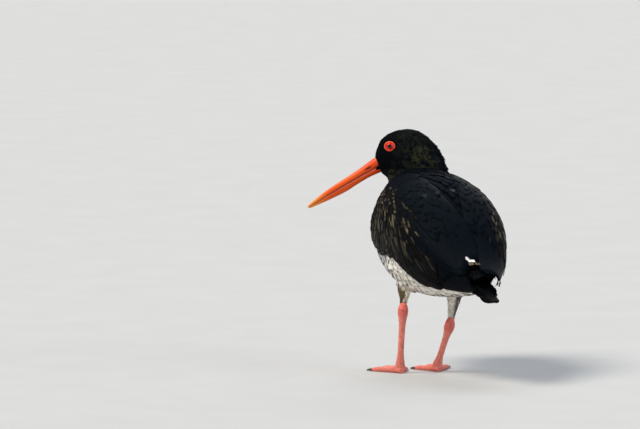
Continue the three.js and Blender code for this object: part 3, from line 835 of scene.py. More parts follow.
def contour_feathers(name, roots, rows, columns, lift=0.9, slim=0.30, fray=0.10):
    """One joined mesh of small feathers that follow the skin from their roots."""
    count = len(roots)
    place, normal, uv = surface.nearest(roots)
    flow = lie(place, normal)
    turn = rng.normal(0, 0.10, count)[:, None]
    flow = unit(flow + np.cross(normal, flow) * turn)
    nape = spot(place, in_head(0, 198, 0), 28)
    length = feather_length(place) * rng.uniform(0.85, 1.15, count) * (1 + 0.2 * nape)
    half = length * slim * rng.uniform(0.9, 1.15, count)
    height = np.clip(length * 0.11, 0.22, 1.3)
    t = np.linspace(0, 1, rows)
    spine = place[:, None] + flow[:, None] * (length[:, None] * t)[..., None]
    ground, up, _ = surface.nearest(spine)
    lifted = lift * (1 + 1.6 * nape * rng.uniform(0.3, 1.0, count))
    rise = height[:, None] * (lifted[:, None] * t + 0.15) + rng.uniform(0, 0.3, count)[:, None] * t
    across = np.linspace(-1, 1, columns)
    side = unit(np.cross(up, np.gradient(ground, axis=1)))
    width = half[:, None] * WIDTH_SHARE(t)
    jag = rng.normal(0, fray, (count, columns)) * length[:, None]
    points = (
        ground[:, :, None]
        + side[:, :, None] * (width[..., None] * across)[..., None]
        + up[:, :, None] * (rise[..., None] - 0.22 * width[..., None] * across**2)[..., None]
        + flow[:, None, None] * (jag[:, None, :] * t[None, :, None] ** 2)[..., None]
    )
    tone = rng.uniform(0.75, 1.3, count)[:, None, None, None]
    tint = body_tint(points) * tone
    tint = tint * (1.0 + 0.5 * smooth(0.7, 1.0, t))[None, :, None, None]
    vane = vane_grid(count, t, across)
    return make_mesh(
        name, points, grid_faces(count, rows, columns), plumage,
        {"OFBake": patches(uv, vane), "Vane": vane}, np.clip(tint, 0, 1))


def wing_front(share):
    """How far forward the wing reaches: less near the back, where it meets the mantle."""
    return 73 - 26 * smooth(0.7, 0.0, share)


def under_wing(p):
    """True well inside the area that the folded wings cover."""
    left, forward, up = np.abs(p[..., 0]), -p[..., 1], p[..., 2]
    middle = widest_height(forward)
    reach = np.where(up > middle, back_height(forward) - middle, middle - belly_height(forward))
    angle = np.arctan2(left / half_width(forward), (up - middle) / reach)
    top, low = wing_top(forward) + 9, wing_low(forward) - 8
    share = (np.degrees(angle) - top) / (low - top)
    return (share > 0) & (share < 1) & (forward < wing_front(share) - 12) & (forward > -118)


def on_face(p):
    return distance(p, BILL_POINT) < 34


def clear_of_eyes_and_bill(p):
    clear = distance(p, in_bill(-1.0, 0, 0)) > 6.5
    for side in (1, -1):
        middle = in_head(*EYE_PLACE, side * EYE_DEPTH)
        clear &= distance(p, middle) > EYE_RING_RADIUS + 0.1
    return clear


face_roots = surface.scatter(lambda p: on_face(p) & clear_of_eyes_and_bill(p))
body_roots = surface.scatter(lambda p: ~on_face(p) & ~under_wing(p))
contour_feathers("face_feathers", face_roots, 4, 3, lift=0.8, slim=0.26)
order = np.argsort(body_roots[:, 1])
for number, part in enumerate(np.array_split(order, 3)):
    contour_feathers(f"body_feathers_{number}", body_roots[part], 6, 5)


# Wings and tail: long feathers in tiers, laid over the body's outline

def step_over(forward, angle, vector):
    """The forward and angle reached by a step of some millimetres over the outline."""
    along = outline(forward + 0.5, angle) - outline(forward - 0.5, angle)
    around = (outline(forward, angle + 0.02) - outline(forward, angle - 0.02)) / 0.04
    aa, ar, rr = (along * along).sum(-1), (along * around).sum(-1), (around * around).sum(-1)
    va, vr = (vector * along).sum(-1), (vector * around).sum(-1)
    det = aa * rr - ar * ar
    return forward + (va * rr - vr * ar) / det, angle + (vr * aa - va * ar) / det


COLUMNS = np.array([-1, -0.72, -0.36, -0.07, 0, 0.07, 0.36, 0.72, 1])
ROUND_TIP = curve([[0, 0.5], [0.25, 0.82], [0.6, 1.0], [0.82, 0.86], [0.93, 0.58], [1, 0.14]])
LONG_TIP = curve([[0, 0.62], [0.4, 1.0], [0.75, 0.92], [0.9, 0.6], [1, 0.1]])


def wing_vanes(side, tier):
    """Points, tints and unwrapped places of one tier of a wing's feathers."""
    count = len(tier["root_f"])
    t = np.linspace(0, 1, tier["rows"])
    forward = lerp(tier["root_f"][:, None], tier["tip_f"][:, None], t)
    share = lerp(tier["root_s"][:, None], tier["tip_s"][:, None], t)
    angle = wing_angle(forward, share)
    direction = np.gradient(outline(forward, angle), axis=1)
    across = unit(np.cross(body_normal(forward, angle), direction))
    width = tier["half"][:, None] * tier["shape"](t)
    ripple = 1 + 0.05 * rng.normal(0, 1, (count, len(t), 2))
    height = tier["top"][:, None] - tier["sink"] * (1 - t) ** 1.5 + tier["lift"] * t
    height = height * lerp(1, 0.4, smooth(0.78, 1.05, share))
    points = np.empty((count, len(t), len(COLUMNS), 3))
    for k, c in enumerate(COLUMNS):
        reach = width * c * (ripple[..., 0] if c < 0 else ripple[..., 1])
        f, a = step_over(forward, angle, across * reach[..., None])
        shaft = 0.16 * (abs(c) < 0.02) * (1 - t)
        crown = tier["camber"] * (1 - c * c) - tier["tilt"] * c + shaft
        points[:, :, k] = over(f, side * a, height + crown)
    vane = vane_grid(count, t, COLUMNS)
    tint = feather_tint(points, vane, tier, count)
    place = np.stack([(forward[:, 0] + 170) / 260, np.clip(0.4 + 0.45 * share[:, 0], 0.01, 0.99)], -1)
    return points, tint, vane, patches(place, vane)


def feather_tint(points, vane, tier, count):
    """Black feathers with a painted blue sheen, a painted sky reflection; the coverts' buff streaks are
    partly worn fringes and partly painted highlight, their brown edges are wear, and a few mantle feather
    tips carry painted glints.
    """
    def each(low, high):
        return rng.uniform(low, high, count)[:, None, None]

    def chosen(share):
        return (rng.random(count) < share)[:, None, None]

    across, along = vane[..., 0] * 2 - 1, vane[..., 1]
    tone = each(0.7, 1.35)
    tint = np.broadcast_to(BLACK, points.shape) * tone[..., None]
    # Painted sheen: each tier is tinted blue by its own share, a painted sky reflection.
    tint = blend(tint, SKY_SHEEN_BLACK * 1.25, tier["blue"] * np.ones_like(tone))
    # Painted highlight: pale tips on a few mantle feathers stand in for glints of light.
    glinting = chosen(0.16) * spot(points, at(0, -22, 176), 42)
    tint = blend(tint, GLINT, glinting * smooth(0.78, 0.95, along) * each(0.2, 1))
    edge = smooth(0.6, 1.0, np.maximum(np.abs(across), smooth(0.75, 1.0, along)))
    tint = blend(tint, BROWN * 0.6, edge * 0.35 * tier["worn"])
    # The buff streaks are partly worn feather fringes and partly a painted highlight of light on them.
    streaked = chosen(0.6 * tier["worn"])
    middle = each(-0.6, 0.6)
    wide = each(0.22, 0.55)
    streak = smooth(1.0, 0.3, np.abs(across - middle) / wide) * smooth(0.1, 0.4, along)
    streak = streak * smooth(1.02, 0.9, along)
    low, front = tier["root_s"], tier["root_f"]
    hem = smooth(0.45, 0.72, low) * smooth(8, -22, front)
    fade = smooth(0.12, 0.30, low) * smooth(-62, -40, front) * (1 - 0.85 * hem)
    return blend(tint, lerp(OLIVE, BUFF, 0.8), streak * streaked * each(0.2, 1.0) * fade[:, None, None])


def row(count, root, tip, half, top, **rest):
    """One tier: root and tip go from the first pair of (forward, share) to the second."""
    def jitter(size):
        return rng.normal(0, size, count)

    k = np.linspace(0, 1, count)
    root_f, root_s = (lerp(first, last, k) for first, last in zip(*root))
    tip_f, tip_s = (lerp(first, last, k) for first, last in zip(*tip))
    values = dict(
        root_f=root_f, root_s=root_s, tip_f=tip_f + jitter(0.8), tip_s=tip_s + jitter(0.008),
        half=lerp(*half, k) * (1 + jitter(0.04)), top=lerp(*top, k) + 0.02 * np.arange(count),
        rows=12, lift=0.5, sink=1.4, camber=0.35, tilt=0.35, shape=ROUND_TIP, blue=0.5, worn=0.0,
    )
    values.update(rest)
    return values


def scattered(forwards, shares, length, half, top, droop, low_rear=None, **rest):
    """One tier laid as loose staggered rows, given as (first, last, step) of forward and of share.

    The sizes are functions of forward, and the droop one of forward and share. Low on the wing, from
    a share of 0.6 on, the tier ends at low_rear.
    """
    front, rear, step = forwards
    upper, lower, share_step = shares
    low_rear = rear if low_rear is None else low_rear
    places = [
        (f, s)
        for i, f in enumerate(np.arange(front, rear, -step))
        for s in np.arange(upper + (i % 2) * share_step / 2, lower, share_step)
        if f < wing_front(s) and (s < 0.6 or f > low_rear)
    ]
    f, s = np.array(places).T
    count = len(f)
    f = f + rng.normal(0, 0.28 * step, count)
    s = s + rng.normal(0, 0.22 * share_step, count)
    long = length(f) * rng.uniform(0.82, 1.2, count)
    turn = droop(f, s) * rng.uniform(0.6, 1.4, count)
    return dict(
        root_f=f, root_s=s, tip_f=f - long * np.cos(turn),
        tip_s=np.minimum(s + long * np.sin(turn) / 85, 1.0 + rng.normal(0, 0.03, count)),
        half=half(f) * rng.uniform(0.85, 1.15, count), top=top(f) + rng.uniform(0, 0.2, count),
        rows=9, sink=1.3, camber=0.3, tilt=0.15, shape=ROUND_TIP, **rest,
    )


def side_droop(f, s):
    """The coverts of the wing's side turn down, more so low on the wing and near its front."""
    return lerp(0.2, 1.0, smooth(0.25, 0.6, s)) * lerp(0.5, 1, smooth(-40, 40, f))


# Where the tips of each tier end, as pairs of forward and share, on the left wing (1) and the right (-1).
# The left wing lies over the right one, so that its upper feathers stand higher by the crossing height.
WING_ENDS = {
    1: dict(
        lowest=(-130, 0.88), trailing=(-84, 0.94), hem=(-58, 1.0), tips=[(-114, 0.42), (-107, -0.04)],
        low_rear=-56, core_rear=-112, crossing=0.8,
    ),
    -1: dict(
        lowest=(-124, 0.70), trailing=(-66, 0.84), hem=(-48, 0.97), tips=[(-128, 0.62), (-125, 0.04)],
        low_rear=-26, core_rear=-96, crossing=0.0,
    ),
}


def wing_tiers(side):
    ends = WING_ENDS[side]
    cross = ends["crossing"]
    # Each tier's share of blue tint is a painted sky reflection on its black feathers.
    return [
        row(10, [(-50, 0.95), (-48, 0.5)], [ends["lowest"], (-112, 0.3)], (4.4, 5.0), (0.2, 0.9),
            rows=16, lift=0.3, sink=0.3, shape=LONG_TIP, tilt=0.25, camber=0.25),
        row(9, [(0, 0.93), (-8, 0.62)], [ends["trailing"], (-106, 0.6)], (5.0, 5.4), (0.9, 1.3),
            rows=14, lift=0.4, sink=0.8, shape=LONG_TIP, tilt=0.3),
        row(8, [(-8, 0.6), (6, 0.06)], ends["tips"], (7.4, 8.2), (1.6 + cross, 2.2 + cross),
            rows=16, sink=1.0, camber=0.5, blue=1.0),
        row(12, [(-16, 0.97), (-36, 0.34)], [ends["hem"], (-84, 0.36)], (4.4, 6.0), (1.5, 2.0), worn=0.2),
        scattered((79, -56, 4.8), (0.24, 0.99, 0.062),
                  length=curve([[-56, 32], [0, 27], [30, 22], [60, 16], [80, 12]]),
                  half=curve([[-56, 4.4], [0, 3.8], [40, 3.2], [80, 2.5]]),
                  top=curve([[-56, 2.1], [30, 2.2], [60, 1.7], [80, 1.0]]),
                  droop=side_droop, low_rear=ends["low_rear"], lift=0.6, blue=0.5, worn=1.0),
        scattered((72, -52, 6.2), (-0.06, 0.32, 0.055),
                  length=curve([[-52, 38], [0, 28], [40, 20], [74, 12]]),
                  half=curve([[-52, 5.0], [20, 4.2], [74, 2.8]]),
                  top=curve([[-52, 2.6 + cross], [20, 2.1 + cross / 2], [60, 1.4], [74, 0.7]]),
                  droop=lambda f, s: 0.05, lift=0.15, blue=1.0, worn=0.05),
    ]


def plate_faces(count, rows, columns):
    """Closed plates: count outer grids first, then as many inner ones, joined round their rims."""
    outer = grid_faces(count, rows, columns)
    size = rows * columns
    offset = count * size
    inner = outer[:, ::-1] + offset
    i = np.arange(rows - 1) * columns
    j = np.arange(columns - 1)
    right = i + columns - 1
    last = j + (rows - 1) * columns
    rim = np.concatenate([
        np.stack([i, i + offset, i + columns + offset, i + columns], -1),
        np.stack([right, right + columns, right + columns + offset, right + offset], -1),
        np.stack([j, j + 1, j + 1 + offset, j + offset], -1),
        np.stack([last, last + offset, last + 1 + offset, last + 1], -1),
    ])
    rims = (np.arange(count)[:, None, None] * size + rim).reshape(-1, 4)
    return np.concatenate([outer, inner, rims])


def join_plates(name, parts, thick, material):
    """Joins grids of feathers into one mesh of closed plates of the given thickness."""
    points, tints, vanes, bakes, faces = [], [], [], [], []
    base = 0
    for p, tint, vane, bake in parts:
        count, rows, columns = p.shape[:3]
        normal = unit(np.cross(np.gradient(p, axis=1), np.gradient(p, axis=2)))
        middle = (slice(None), rows // 2, columns // 2)
        outward = p[middle] - [0, -p[..., 1].mean(), 120]
        if (normal[middle] * outward).sum() < 0:
            normal = -normal
        taper = lerp(1.0, 0.5, np.linspace(0, 1, rows))[None, :, None, None]
        both = np.concatenate([p, p - normal * thick * taper])
        points.append(both.reshape(-1, 3))
        tints.append(np.concatenate([tint, tint * 0.8]).reshape(-1, 3))
        vanes.append(np.concatenate([vane, vane]).reshape(-1, 2))
        bakes.append(np.concatenate([bake, bake]).reshape(-1, 2))
        faces.append(plate_faces(count, rows, columns) + base)
        base += 2 * count * rows * columns
    uvs = {"OFBake": np.concatenate(bakes), "Vane": np.concatenate(vanes)}
    tint = np.clip(np.concatenate(tints), 0, 1)
    return make_mesh(
        name, np.concatenate(points), np.concatenate(faces), material, uvs, tint)


CORE_HEIGHT = curve([[-152, 0.1], [-110, 0.2], [-60, 0.6], [0, 1.4], [50, 1.8], [70, 1.4], [80, 0.4]])


def wing_core(side):
    """The black sheet that the coverts lie on, as one plate."""
    t, s = np.meshgrid(np.linspace(0, 1, 50), np.linspace(0.02, 0.98, 18), indexing="ij")
    f = lerp(wing_front(s) - 1, WING_ENDS[side]["core_rear"], t)
    height = 0.1 + 0.6 * CORE_HEIGHT(f) * (1 - (2 * s - 1) ** 4) * smooth(0, 0.12, t)
    points = over(f, side * wing_angle(f, s), height)[None]
    grid = np.stack([s, t], -1)[None]
    tint = np.broadcast_to(BLACK * 0.8, points.shape)
    return points, tint, grid, grid * 0.9 + 0.05


SIDES = {"left": 1, "right": -1}
for side_name, side in SIDES.items():
    tiers = [wing_vanes(side, tier) for tier in wing_tiers(side)]
    wing = join_plates(f"wing_feathers_{side_name}", [wing_core(side)] + tiers, 0.3, flight_plumage)
    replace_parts(wing, f"wing_{side_name}")


BACK_LAYER = curve([[-117, -1.6], [-70, -0.6], [-40, 0.9], [20, 1.4], [50, 0.9]])


def back_tier():
    """Dark feathers over the mantle, then the rump between the wings, on to the root of the tail."""
    places = []
    for i, f in enumerate(np.arange(50, -110, -5.2)):
        step = math.degrees(5.6 / half_width(f))
        limit = lerp(56, wing_top(f) + 8, smooth(-80, -50, f))
        places += [(f, a) for a in np.arange(-limit + step / 2 * (i % 2), limit, step)]
    f, angle = np.array(places).T
    count = len(f)

    def share(forward):
        return (angle - wing_top(forward)) / (wing_low(forward) - wing_top(forward))

    f = f + rng.normal(0, 1.2, count)
    usual = lerp(lerp(17, 21, smooth(-105, -80, f)), 14, smooth(-40, 50, f))
    length = rng.uniform(0.85, 1.1, count) * usual
    return dict(
        root_f=f, root_s=share(f), tip_f=f - length, tip_s=share(f - length),
        half=rng.uniform(3.1, 3.8, count), top=BACK_LAYER(f) + rng.uniform(0, 0.25, count),
        rows=9, lift=0.25, sink=1.2, camber=0.3, tilt=0.1, shape=ROUND_TIP,
        # The back feathers carry a painted blue sky reflection, fading out towards the tail.
        blue=0.9 * smooth(-110, -60, f)[:, None, None], worn=0.0,
    )


join_plates("back_feathers", [wing_vanes(1, back_tier())], 0.3, plumage)

TAIL_ROOT = (-96, 97.5)
TAIL_REACH = -152
TAIL_END_HEIGHT = 81
TAIL_COUNT = 12
TAIL_WIDTH = curve([[0, 0.55], [0.5, 0.85], [0.8, 1.0], [0.92, 0.86], [0.98, 0.5], [1, 0.2]])


def tail_vanes():
    """The closed tail: a low tent of twelve feathers, the middle pair on top."""
    rows = 18
    along = np.linspace(0, 1, rows)
    t = along[None, :, None]
    c = COLUMNS[None, None, :]
    index = np.arange(TAIL_COUNT)
    middle = (TAIL_COUNT - 1) / 2
    place = ((index - middle) / middle)[:, None, None]
    length = (TAIL_ROOT[0] - TAIL_REACH) * (1 - 0.14 * place**2)
    turn = rad(1.4) * place
    layer = 0.28 * (np.abs(index - middle) + np.where(index > middle, 0.5, 0))[:, None, None]
    left = place * 3.2 + np.sin(turn) * length * t + c * (4.2 * TAIL_WIDTH(t))
    forward = TAIL_ROOT[0] - np.cos(turn) * length * t + 0 * c
    raised = 0.3 * (1 - c**2) + 0.35 * np.sign(place) * c + 0.2 * (np.abs(c) < 0.02) * (1 - t)
    up = lerp(TAIL_ROOT[1] + 2, TAIL_END_HEIGHT, t) - 0.012 * left**2 - layer + raised
    points = at(left, forward, up)
    vane = vane_grid(TAIL_COUNT, along, COLUMNS)
    tone = rng.uniform(0.8, 1.2, TAIL_COUNT)[:, None, None, None]
    tint = np.broadcast_to(BLACK, points.shape) * tone
    roots = np.stack([0.1 + 0.8 * index / TAIL_COUNT, np.full(TAIL_COUNT, 0.5)], -1)
    return points, tint, vane, patches(roots, vane)


COVERT_RINGS, COVERT_SPOKES = 26, 40


def covert_middle(t):
    """The height of the tail root's middle line, from its front to its rear end."""
    return lerp(98.5, 87.8, t)


def tail_root_points():
    """The round root of the tail."""
    t = np.linspace(0, 1, COVERT_RINGS)[:, None]
    a = np.linspace(0, 2 * math.pi, COVERT_SPOKES, endpoint=False)[None]
    half, above, below = lerp(15, 8.0, t), lerp(12, 0.6, t**0.7), lerp(13, 2.2, t**0.8)
    reach = np.where(np.cos(a) > 0, above, below) - 1.0
    return at((half - 1.0) * np.sin(a), lerp(-84, -128, t), covert_middle(t) + reach * np.cos(a))


covert_points = tail_root_points()
ring_grid = np.meshgrid(np.linspace(0, 1, COVERT_RINGS), np.linspace(0, 1, COVERT_SPOKES), indexing="ij")
make_mesh(
    "tail_root", covert_points, tube_faces(COVERT_RINGS, COVERT_SPOKES), plumage,
    {"OFBake": np.stack([(covert_points[..., 0] + 30) / 60, (covert_points[..., 2] - 60) / 60], -1),
     "Vane": np.stack(ring_grid[::-1], -1)},
    body_tint(covert_points),
)
tail = join_plates("tail_feathers", [tail_vanes()], 0.35, flight_plumage)
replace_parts(tail, "tail")


def loose_feathers(name, place, normal, flow, length, half, tint_of, rows=6, columns=5, lift=1.0):
    """Feathers on a surface given by points and normals, for parts that the skin doesn't reach."""
    count = len(place)
    along = np.linspace(0, 1, rows)
    across = np.linspace(-1, 1, columns)
    t, c = along[None, :, None], across[None, None, :]
    side = unit(np.cross(normal, flow))[:, None, None]
    width = half[:, None, None] * WIDTH_SHARE(t)
    rise = length[:, None, None] * 0.10 * (lift * t + 0.1) - 0.3 * width * c**2
    jag = rng.normal(0, 0.06, (count, 1, columns)) * length[:, None, None]
    points = (
        place[:, None, None]
        + flow[:, None, None] * (length[:, None, None] * t + jag * t**2)[..., None]
        + side * (width * c)[..., None]
        + normal[:, None, None] * rise[..., None]
    )
    vane = vane_grid(count, along, across)
    tint = tint_of(points) * rng.uniform(0.8, 1.25, count)[:, None, None, None]
    roots = np.stack([0.05 + 0.9 * np.arange(count) / count, np.full(count, 0.3)], -1)
    make_mesh(
        name, points, grid_faces(count, rows, columns), plumage,
        {"OFBake": patches(roots, vane), "Vane": vane}, np.clip(tint, 0, 1))


def covert_feathers():
    """The tail root's own small feathers, in rings that are each set round by part of a step."""
    around = 26
    rings = np.arange(2, 22)
    last = COVERT_RINGS - 1
    ring = np.repeat(rings, around)
    spoke = np.tile(np.arange(around), len(rings)) * COVERT_SPOKES / around + (ring % 2) * 0.77
    low_spoke = np.floor(spoke).astype(int) % COVERT_SPOKES
    p = covert_points[ring, low_spoke]
    beside = covert_points[ring, (low_spoke + 1) % COVERT_SPOKES] - p
    rearward = unit(covert_points[ring + 1, low_spoke] - p)
    normal = unit(np.cross(beside, rearward))
    outward = p - at(0, -p[:, 1], covert_middle(ring / last))
    normal = normal * np.sign((normal * outward).sum(-1, keepdims=True))
    p = p + beside * (spoke % 1)[:, None]
    length = lerp(14, 16, ring / last) * rng.uniform(0.85, 1.1, len(ring))
    loose_feathers("tail_coverts", p, normal, rearward, length, length * 0.26, body_tint)


# The white of the rump shows as a fleck between the wing tips: forward, angle and length of each feather.
FLECK_WHITE = ((-101, 22, 5.5), (-104, 21, 4.6), (-105, 15, 4.2), (-105.5, 11, 3.6))
FLECK_BROWN = ((-108, 26, 4.0), (-108, 19, 4.4), (-109, 9, 4.2), (-110, 3, 3.6))
FLECK_HEIGHT = 4.7


def rump_fleck():
    forward, angle, length = np.array(FLECK_WHITE + FLECK_BROWN, float).T
    angle = np.radians(angle)
    height = np.full(len(forward), FLECK_HEIGHT)
    place = over(forward, angle, height)
    flow = unit(over(forward - 1, angle, height) - place)
    tints = np.array([WHITE] * len(FLECK_WHITE) + [lerp(BROWN, BUFF, 0.6)] * len(FLECK_BROWN))
    loose_feathers(
        "rump_fleck", place, body_normal(forward, angle), flow, length, length * 0.3,
        lambda p: np.broadcast_to(tints[:, None, None], p.shape), lift=0.3)


covert_feathers()
rump_fleck()


# Bill

CULMEN = curve([[0, 7.4], [14, 6.2], [28, 5.5], [45, 5.2], [60, 4.1], [72, 2.5], [78, 1.3]])
GONYS = curve([[0, -7.4], [12, -5.9], [28, -5.7], [38, -6.0], [52, -4.8], [66, -3.1], [78, -1.3]])
MOUTH_LINE = curve([[0, -1.6], [20, -0.9], [50, -0.3], [78, 0]])
BILL_HALF = curve([[0, 5.3], [12, 4.3], [28, 3.4], [50, 2.5], [70, 1.6], [78, 1.0]])
ORANGE_RED = np.array([0.92, 0.100, 0.003])
BASE_RED = np.array([0.90, 0.075, 0.003])
TIP_ORANGE = np.array([0.96, 0.36, 0.03])
BILL_SHADE = np.array([0.42, 0.035, 0.006])


def bill_tint(along, rise):
    tint = blend(np.broadcast_to(BASE_RED, (*along.shape, 3)), ORANGE_RED, smooth(2, 24, along))
    tint = blend(tint, TIP_ORANGE, smooth(52, 76, along) * 0.9)
    return blend(tint, TIP_ORANGE, smooth(4, 30, along) * smooth(0.2, 0.9, np.abs(rise)) * 0.10)


def mandible(name, edge, side):
    """Half of the bill, closed, with the mouth line as a narrow groove in painted shade."""
    end = BILL_LENGTH - (0.8 if side < 0 else 0)
    tip = end - np.array([1.4, 0.8, 0.35, 0])
    along = np.concatenate([np.linspace(-7, 14, 36), np.linspace(14.8, end - 2, 60), tip])
    spokes = 25
    s, a = np.meshgrid(along, np.linspace(0, math.pi, spokes), indexing="ij")
    root = MOUTH_LINE(s) + side * 0.09
    half = BILL_HALF(s)
    close = np.sqrt(np.clip((end - s) / 1.6, 0.02, 1))
    rise = root + (edge(s) - root) * np.sin(a) ** 0.8 * close
    depth = half * np.sign(np.cos(a)) * np.abs(np.cos(a)) ** 0.75 * close
    lip = smooth(0.0, 0.35, np.sin(a))
    depth = depth * lerp(0.93, 1.0, lip)
    if side > 0:
        over_slit = rise - 2.0 - 0.02 * (s - 8)
        slit = np.exp(-(((s - 8.6) / 3.4) ** 4)) * np.exp(-((over_slit / 0.62) ** 2))
        depth = depth * (1 - 0.42 * slit)
    else:
        slit = np.zeros_like(s)
    points = in_bill(s, rise, depth)
    tint = bill_tint(s, (rise - root) / 6)
    # Painted shade: the lips along the mouth line, the nostril slit and the floor between the mandibles are
    # darkened as if in shadow.
    tint = blend(tint, BILL_SHADE, (1 - lip) * 0.8)
    tint = blend(tint, BILL_SHADE * 0.2, np.clip(slit * 1.3, 0, 1))
    floor_row = in_bill(s[:, :1], root[:, :1], 0 * s[:, :1])
    points = np.concatenate([points, floor_row], axis=1)
    tint = np.concatenate([tint, np.broadcast_to(BILL_SHADE, floor_row.shape)], axis=1)
    columns = spokes + 1
    vane = np.stack(np.meshgrid(along / 80, np.linspace(0, 1, columns), indexing="ij")[::-1], -1)
    row_place = vane[..., 0] / 2 + (0.5 if side > 0 else 0)
    flat = 0.02 + 0.96 * np.stack([(vane[..., 1] + 0.1) / 1.1, row_place], -1)
    faces = tube_faces(len(along), columns).tolist() + end_caps(len(along), columns)
    if side < 0:
        faces = [face[::-1] for face in faces]
    bill = make_mesh(name, points, faces, bill_surface, {"OFBake": flat, "Vane": vane}, tint)
    turn_outward(bill)
    return bill


def end_caps(rows, columns):
    """The faces that close both ends of a tube."""
    return [list(range(columns))[::-1], [(rows - 1) * columns + k for k in range(columns)]]


def turn_outward(made):
    """Turns every face of a closed mesh outward."""
    shape = bmesh.new()
    shape.from_mesh(made.data)
    bmesh.ops.recalc_face_normals(shape, faces=shape.faces)
    shape.to_mesh(made.data)
    shape.free()


bill_surface = bill_material()
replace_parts(mandible("bill_upper_horn", CULMEN, 1), "bill_upper")
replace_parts(mandible("bill_lower_horn", GONYS, -1), "bill_lower")


def lore_feathers():
    """Small black feathers that run out on the bill's side as a wedge, above the mouth line."""
    count = 90
    places, normals, flows = [], [], []
    for side in (1, -1):
        along = rng.uniform(-3.0, 3.4, count)
        rise = rng.uniform(-1, 1, count) * lerp(2.6, 0.3, np.clip((along + 3) / 6.4, 0, 1)) - 2.4
        places.append(in_bill(along, rise, side * (BILL_HALF(along) * 0.97 + 0.05)))
        normals.append(np.broadcast_to(HEAD_LEFT * side, (count, 3)))
        headward = in_bill(along - 1, rise, 0) - in_bill(along, rise, 0)
        flows.append(unit(headward + HEAD_LEFT * side * 0.25))
    place, normal, flow = np.concatenate(places), np.concatenate(normals), np.concatenate(flows)
    normal = unit(normal - flow * (normal * flow).sum(-1, keepdims=True))
    length = rng.uniform(1.4, 2.2, len(place))
    loose_feathers("lore_feathers", place, normal, flow, length, length * 0.24,
                   lambda p: np.broadcast_to(BLACK, p.shape), rows=4, columns=3)


lore_feathers()


# Eyes

IRIS = np.array([0.90, 0.016, 0.014])
PUPIL = np.array([0.004, 0.003, 0.003])
PUPIL_ANGLE = rad(27)
EYE_SPOKES = 48
RING_SPOKES, RING_ROUND = 72, 16


def eye_axes(side):
    """Where the eye looks, a little ahead and up, with the ways beside and above that."""
    upward = np.array([0, 0, math.sin(rad(4))])
    look = unit(HEAD_LEFT * side * math.cos(rad(9)) + BILLWARD * math.sin(rad(9)) + upward)
    beside = unit(np.cross([0, 0, 1.0], look))
    return look, beside, np.cross(look, beside)


def eyeball(side, side_name):
    look, beside, upward = eye_axes(side)
    iris_rings = PUPIL_ANGLE + rad(1) + np.linspace(0, rad(120), 40)
    polar = np.concatenate([np.linspace(0.02, PUPIL_ANGLE, 8), iris_rings])
    turn = np.linspace(0, 2 * math.pi, EYE_SPOKES, endpoint=False)
    a, b = np.meshgrid(polar, turn, indexing="ij")
    a3, b3 = a[..., None], b[..., None]
    ball = look * np.cos(a3) + (beside * np.cos(b3) + upward * np.sin(b3)) * np.sin(a3)
    bulge = 1 + 0.02 * smooth(rad(45), 0, a)[..., None]
    points = in_head(*EYE_PLACE, side * EYE_DEPTH) + ball * EYE_RADIUS * bulge
    spokes = value_noise(np.stack([np.cos(b) * 6, np.sin(b) * 6, a * 3], -1), 1.0, 9)
    tint = np.broadcast_to(IRIS, points.shape) * (1.0 + 0.25 * spokes)[..., None]
    tint = blend(tint, IRIS * 0.35, smooth(rad(58), rad(66), a))
    tint = blend(tint, PUPIL, a <= PUPIL_ANGLE + 1e-6)
    uv = 0.5 + 0.48 * np.stack([np.cos(b) * a / polar[-1], np.sin(b) * a / polar[-1]], -1)
    front, rear = end_caps(len(polar), EYE_SPOKES)
    faces = tube_faces(len(polar), EYE_SPOKES).tolist() + [front[::-1], rear[::-1]]
    eye = make_mesh(f"eyeball_{side_name}", points, faces, eye_surface, {"OFBake": uv}, tint)
    turn_outward(eye)
    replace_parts(eye, f"eye_{side_name}")


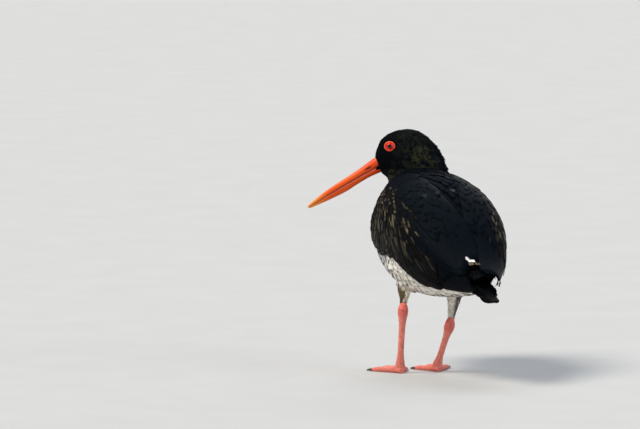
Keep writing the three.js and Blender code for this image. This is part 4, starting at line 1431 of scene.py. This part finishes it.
def eye_ring(side, side_name):
    """The bare orange ring, a little wider than high, with fine folds."""
    look, beside, upward = eye_axes(side)
    turn = np.linspace(0, 2 * math.pi, RING_SPOKES, endpoint=False)
    around = np.linspace(0, 2 * math.pi, RING_ROUND, endpoint=False)
    b, a = np.meshgrid(turn, around, indexing="ij")
    folds = 1 + 0.07 * np.cos(b * 19 + 2 * np.sin(b * 3)) * (np.cos(a) > -0.3)
    radius = 4.62 + 0.76 * np.cos(a) * folds
    out = 2.45 + 0.74 * np.sin(a) * folds - 0.28 * np.cos(a)
    points = (
        in_head(*EYE_PLACE, side * EYE_DEPTH)
        + look * out[..., None]
        + beside * (radius * np.cos(b) * 1.01)[..., None]
        + upward * (radius * np.sin(b) * 0.90)[..., None]
    )
    uv = np.stack([b / (2 * math.pi), a / (2 * math.pi)], -1) * 0.98 + 0.01
    k = np.arange(RING_ROUND)
    after = (k + 1) % RING_ROUND
    last = (RING_SPOKES - 1) * RING_ROUND
    joint = np.stack([k + last, after + last, after, k], -1)
    faces = np.concatenate([tube_faces(RING_SPOKES, RING_ROUND), joint])
    ring = make_mesh(f"eye_ring_{side_name}", points, faces, ring_surface, {"OFBake": uv})
    turn_outward(ring)
    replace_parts(ring, f"eyelid_{side_name}")


eye_surface = eye_material()
ring_surface = ring_material()
for side_name, side in SIDES.items():
    eyeball(side, side_name)
    eye_ring(side, side_name)


# Legs, feet and claws: the solids' own shapes, joined, smoothed and scaled

CORAL = np.array([0.88, 0.25, 0.19])
JOINT_RED = np.array([0.74, 0.09, 0.08])
TOES = ("inner", "middle", "outer")


def smooth_copy(name, nodes, voxel, passes):
    """One smooth mesh over several solids, in their place."""
    made = remeshed(name, nodes, voxel, passes, grow=0.1)
    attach(made, "root")
    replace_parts(made, *nodes)
    return made


def leg_tint(points, ankle):
    """Coral, redder at the ankle and under the toes."""
    from_ankle = distance(points, ankle)
    tint = blend(np.broadcast_to(CORAL, points.shape), JOINT_RED, smooth(11, 4, from_ankle) * 0.55)
    tint = tint * (1 + 0.14 * value_noise(points, 3.0, 7)[:, None])
    return blend(tint, JOINT_RED, smooth(8, 3, points[:, 2]) * 0.25)


leg_surface = leg_material()
claw_surface = claw_material()
for side_name, side in SIDES.items():
    bare = [f"tarsus_{side_name}", f"foot_{side_name}"] + [f"toe_{side_name}_{toe}" for toe in TOES]
    leg = smooth_copy(f"leg_{side_name}", bare, 0.55, 5)
    ankle = THIGHS[side][1]
    write_tint(leg.data, leg_tint(read_points(leg.data), ankle))
    leg.data.materials.append(leg_surface)
    claws = smooth_copy(f"claws_{side_name}", [f"claw_{side_name}_{toe}" for toe in TOES], 0.25, 4)
    claws.data.materials.append(claw_surface)
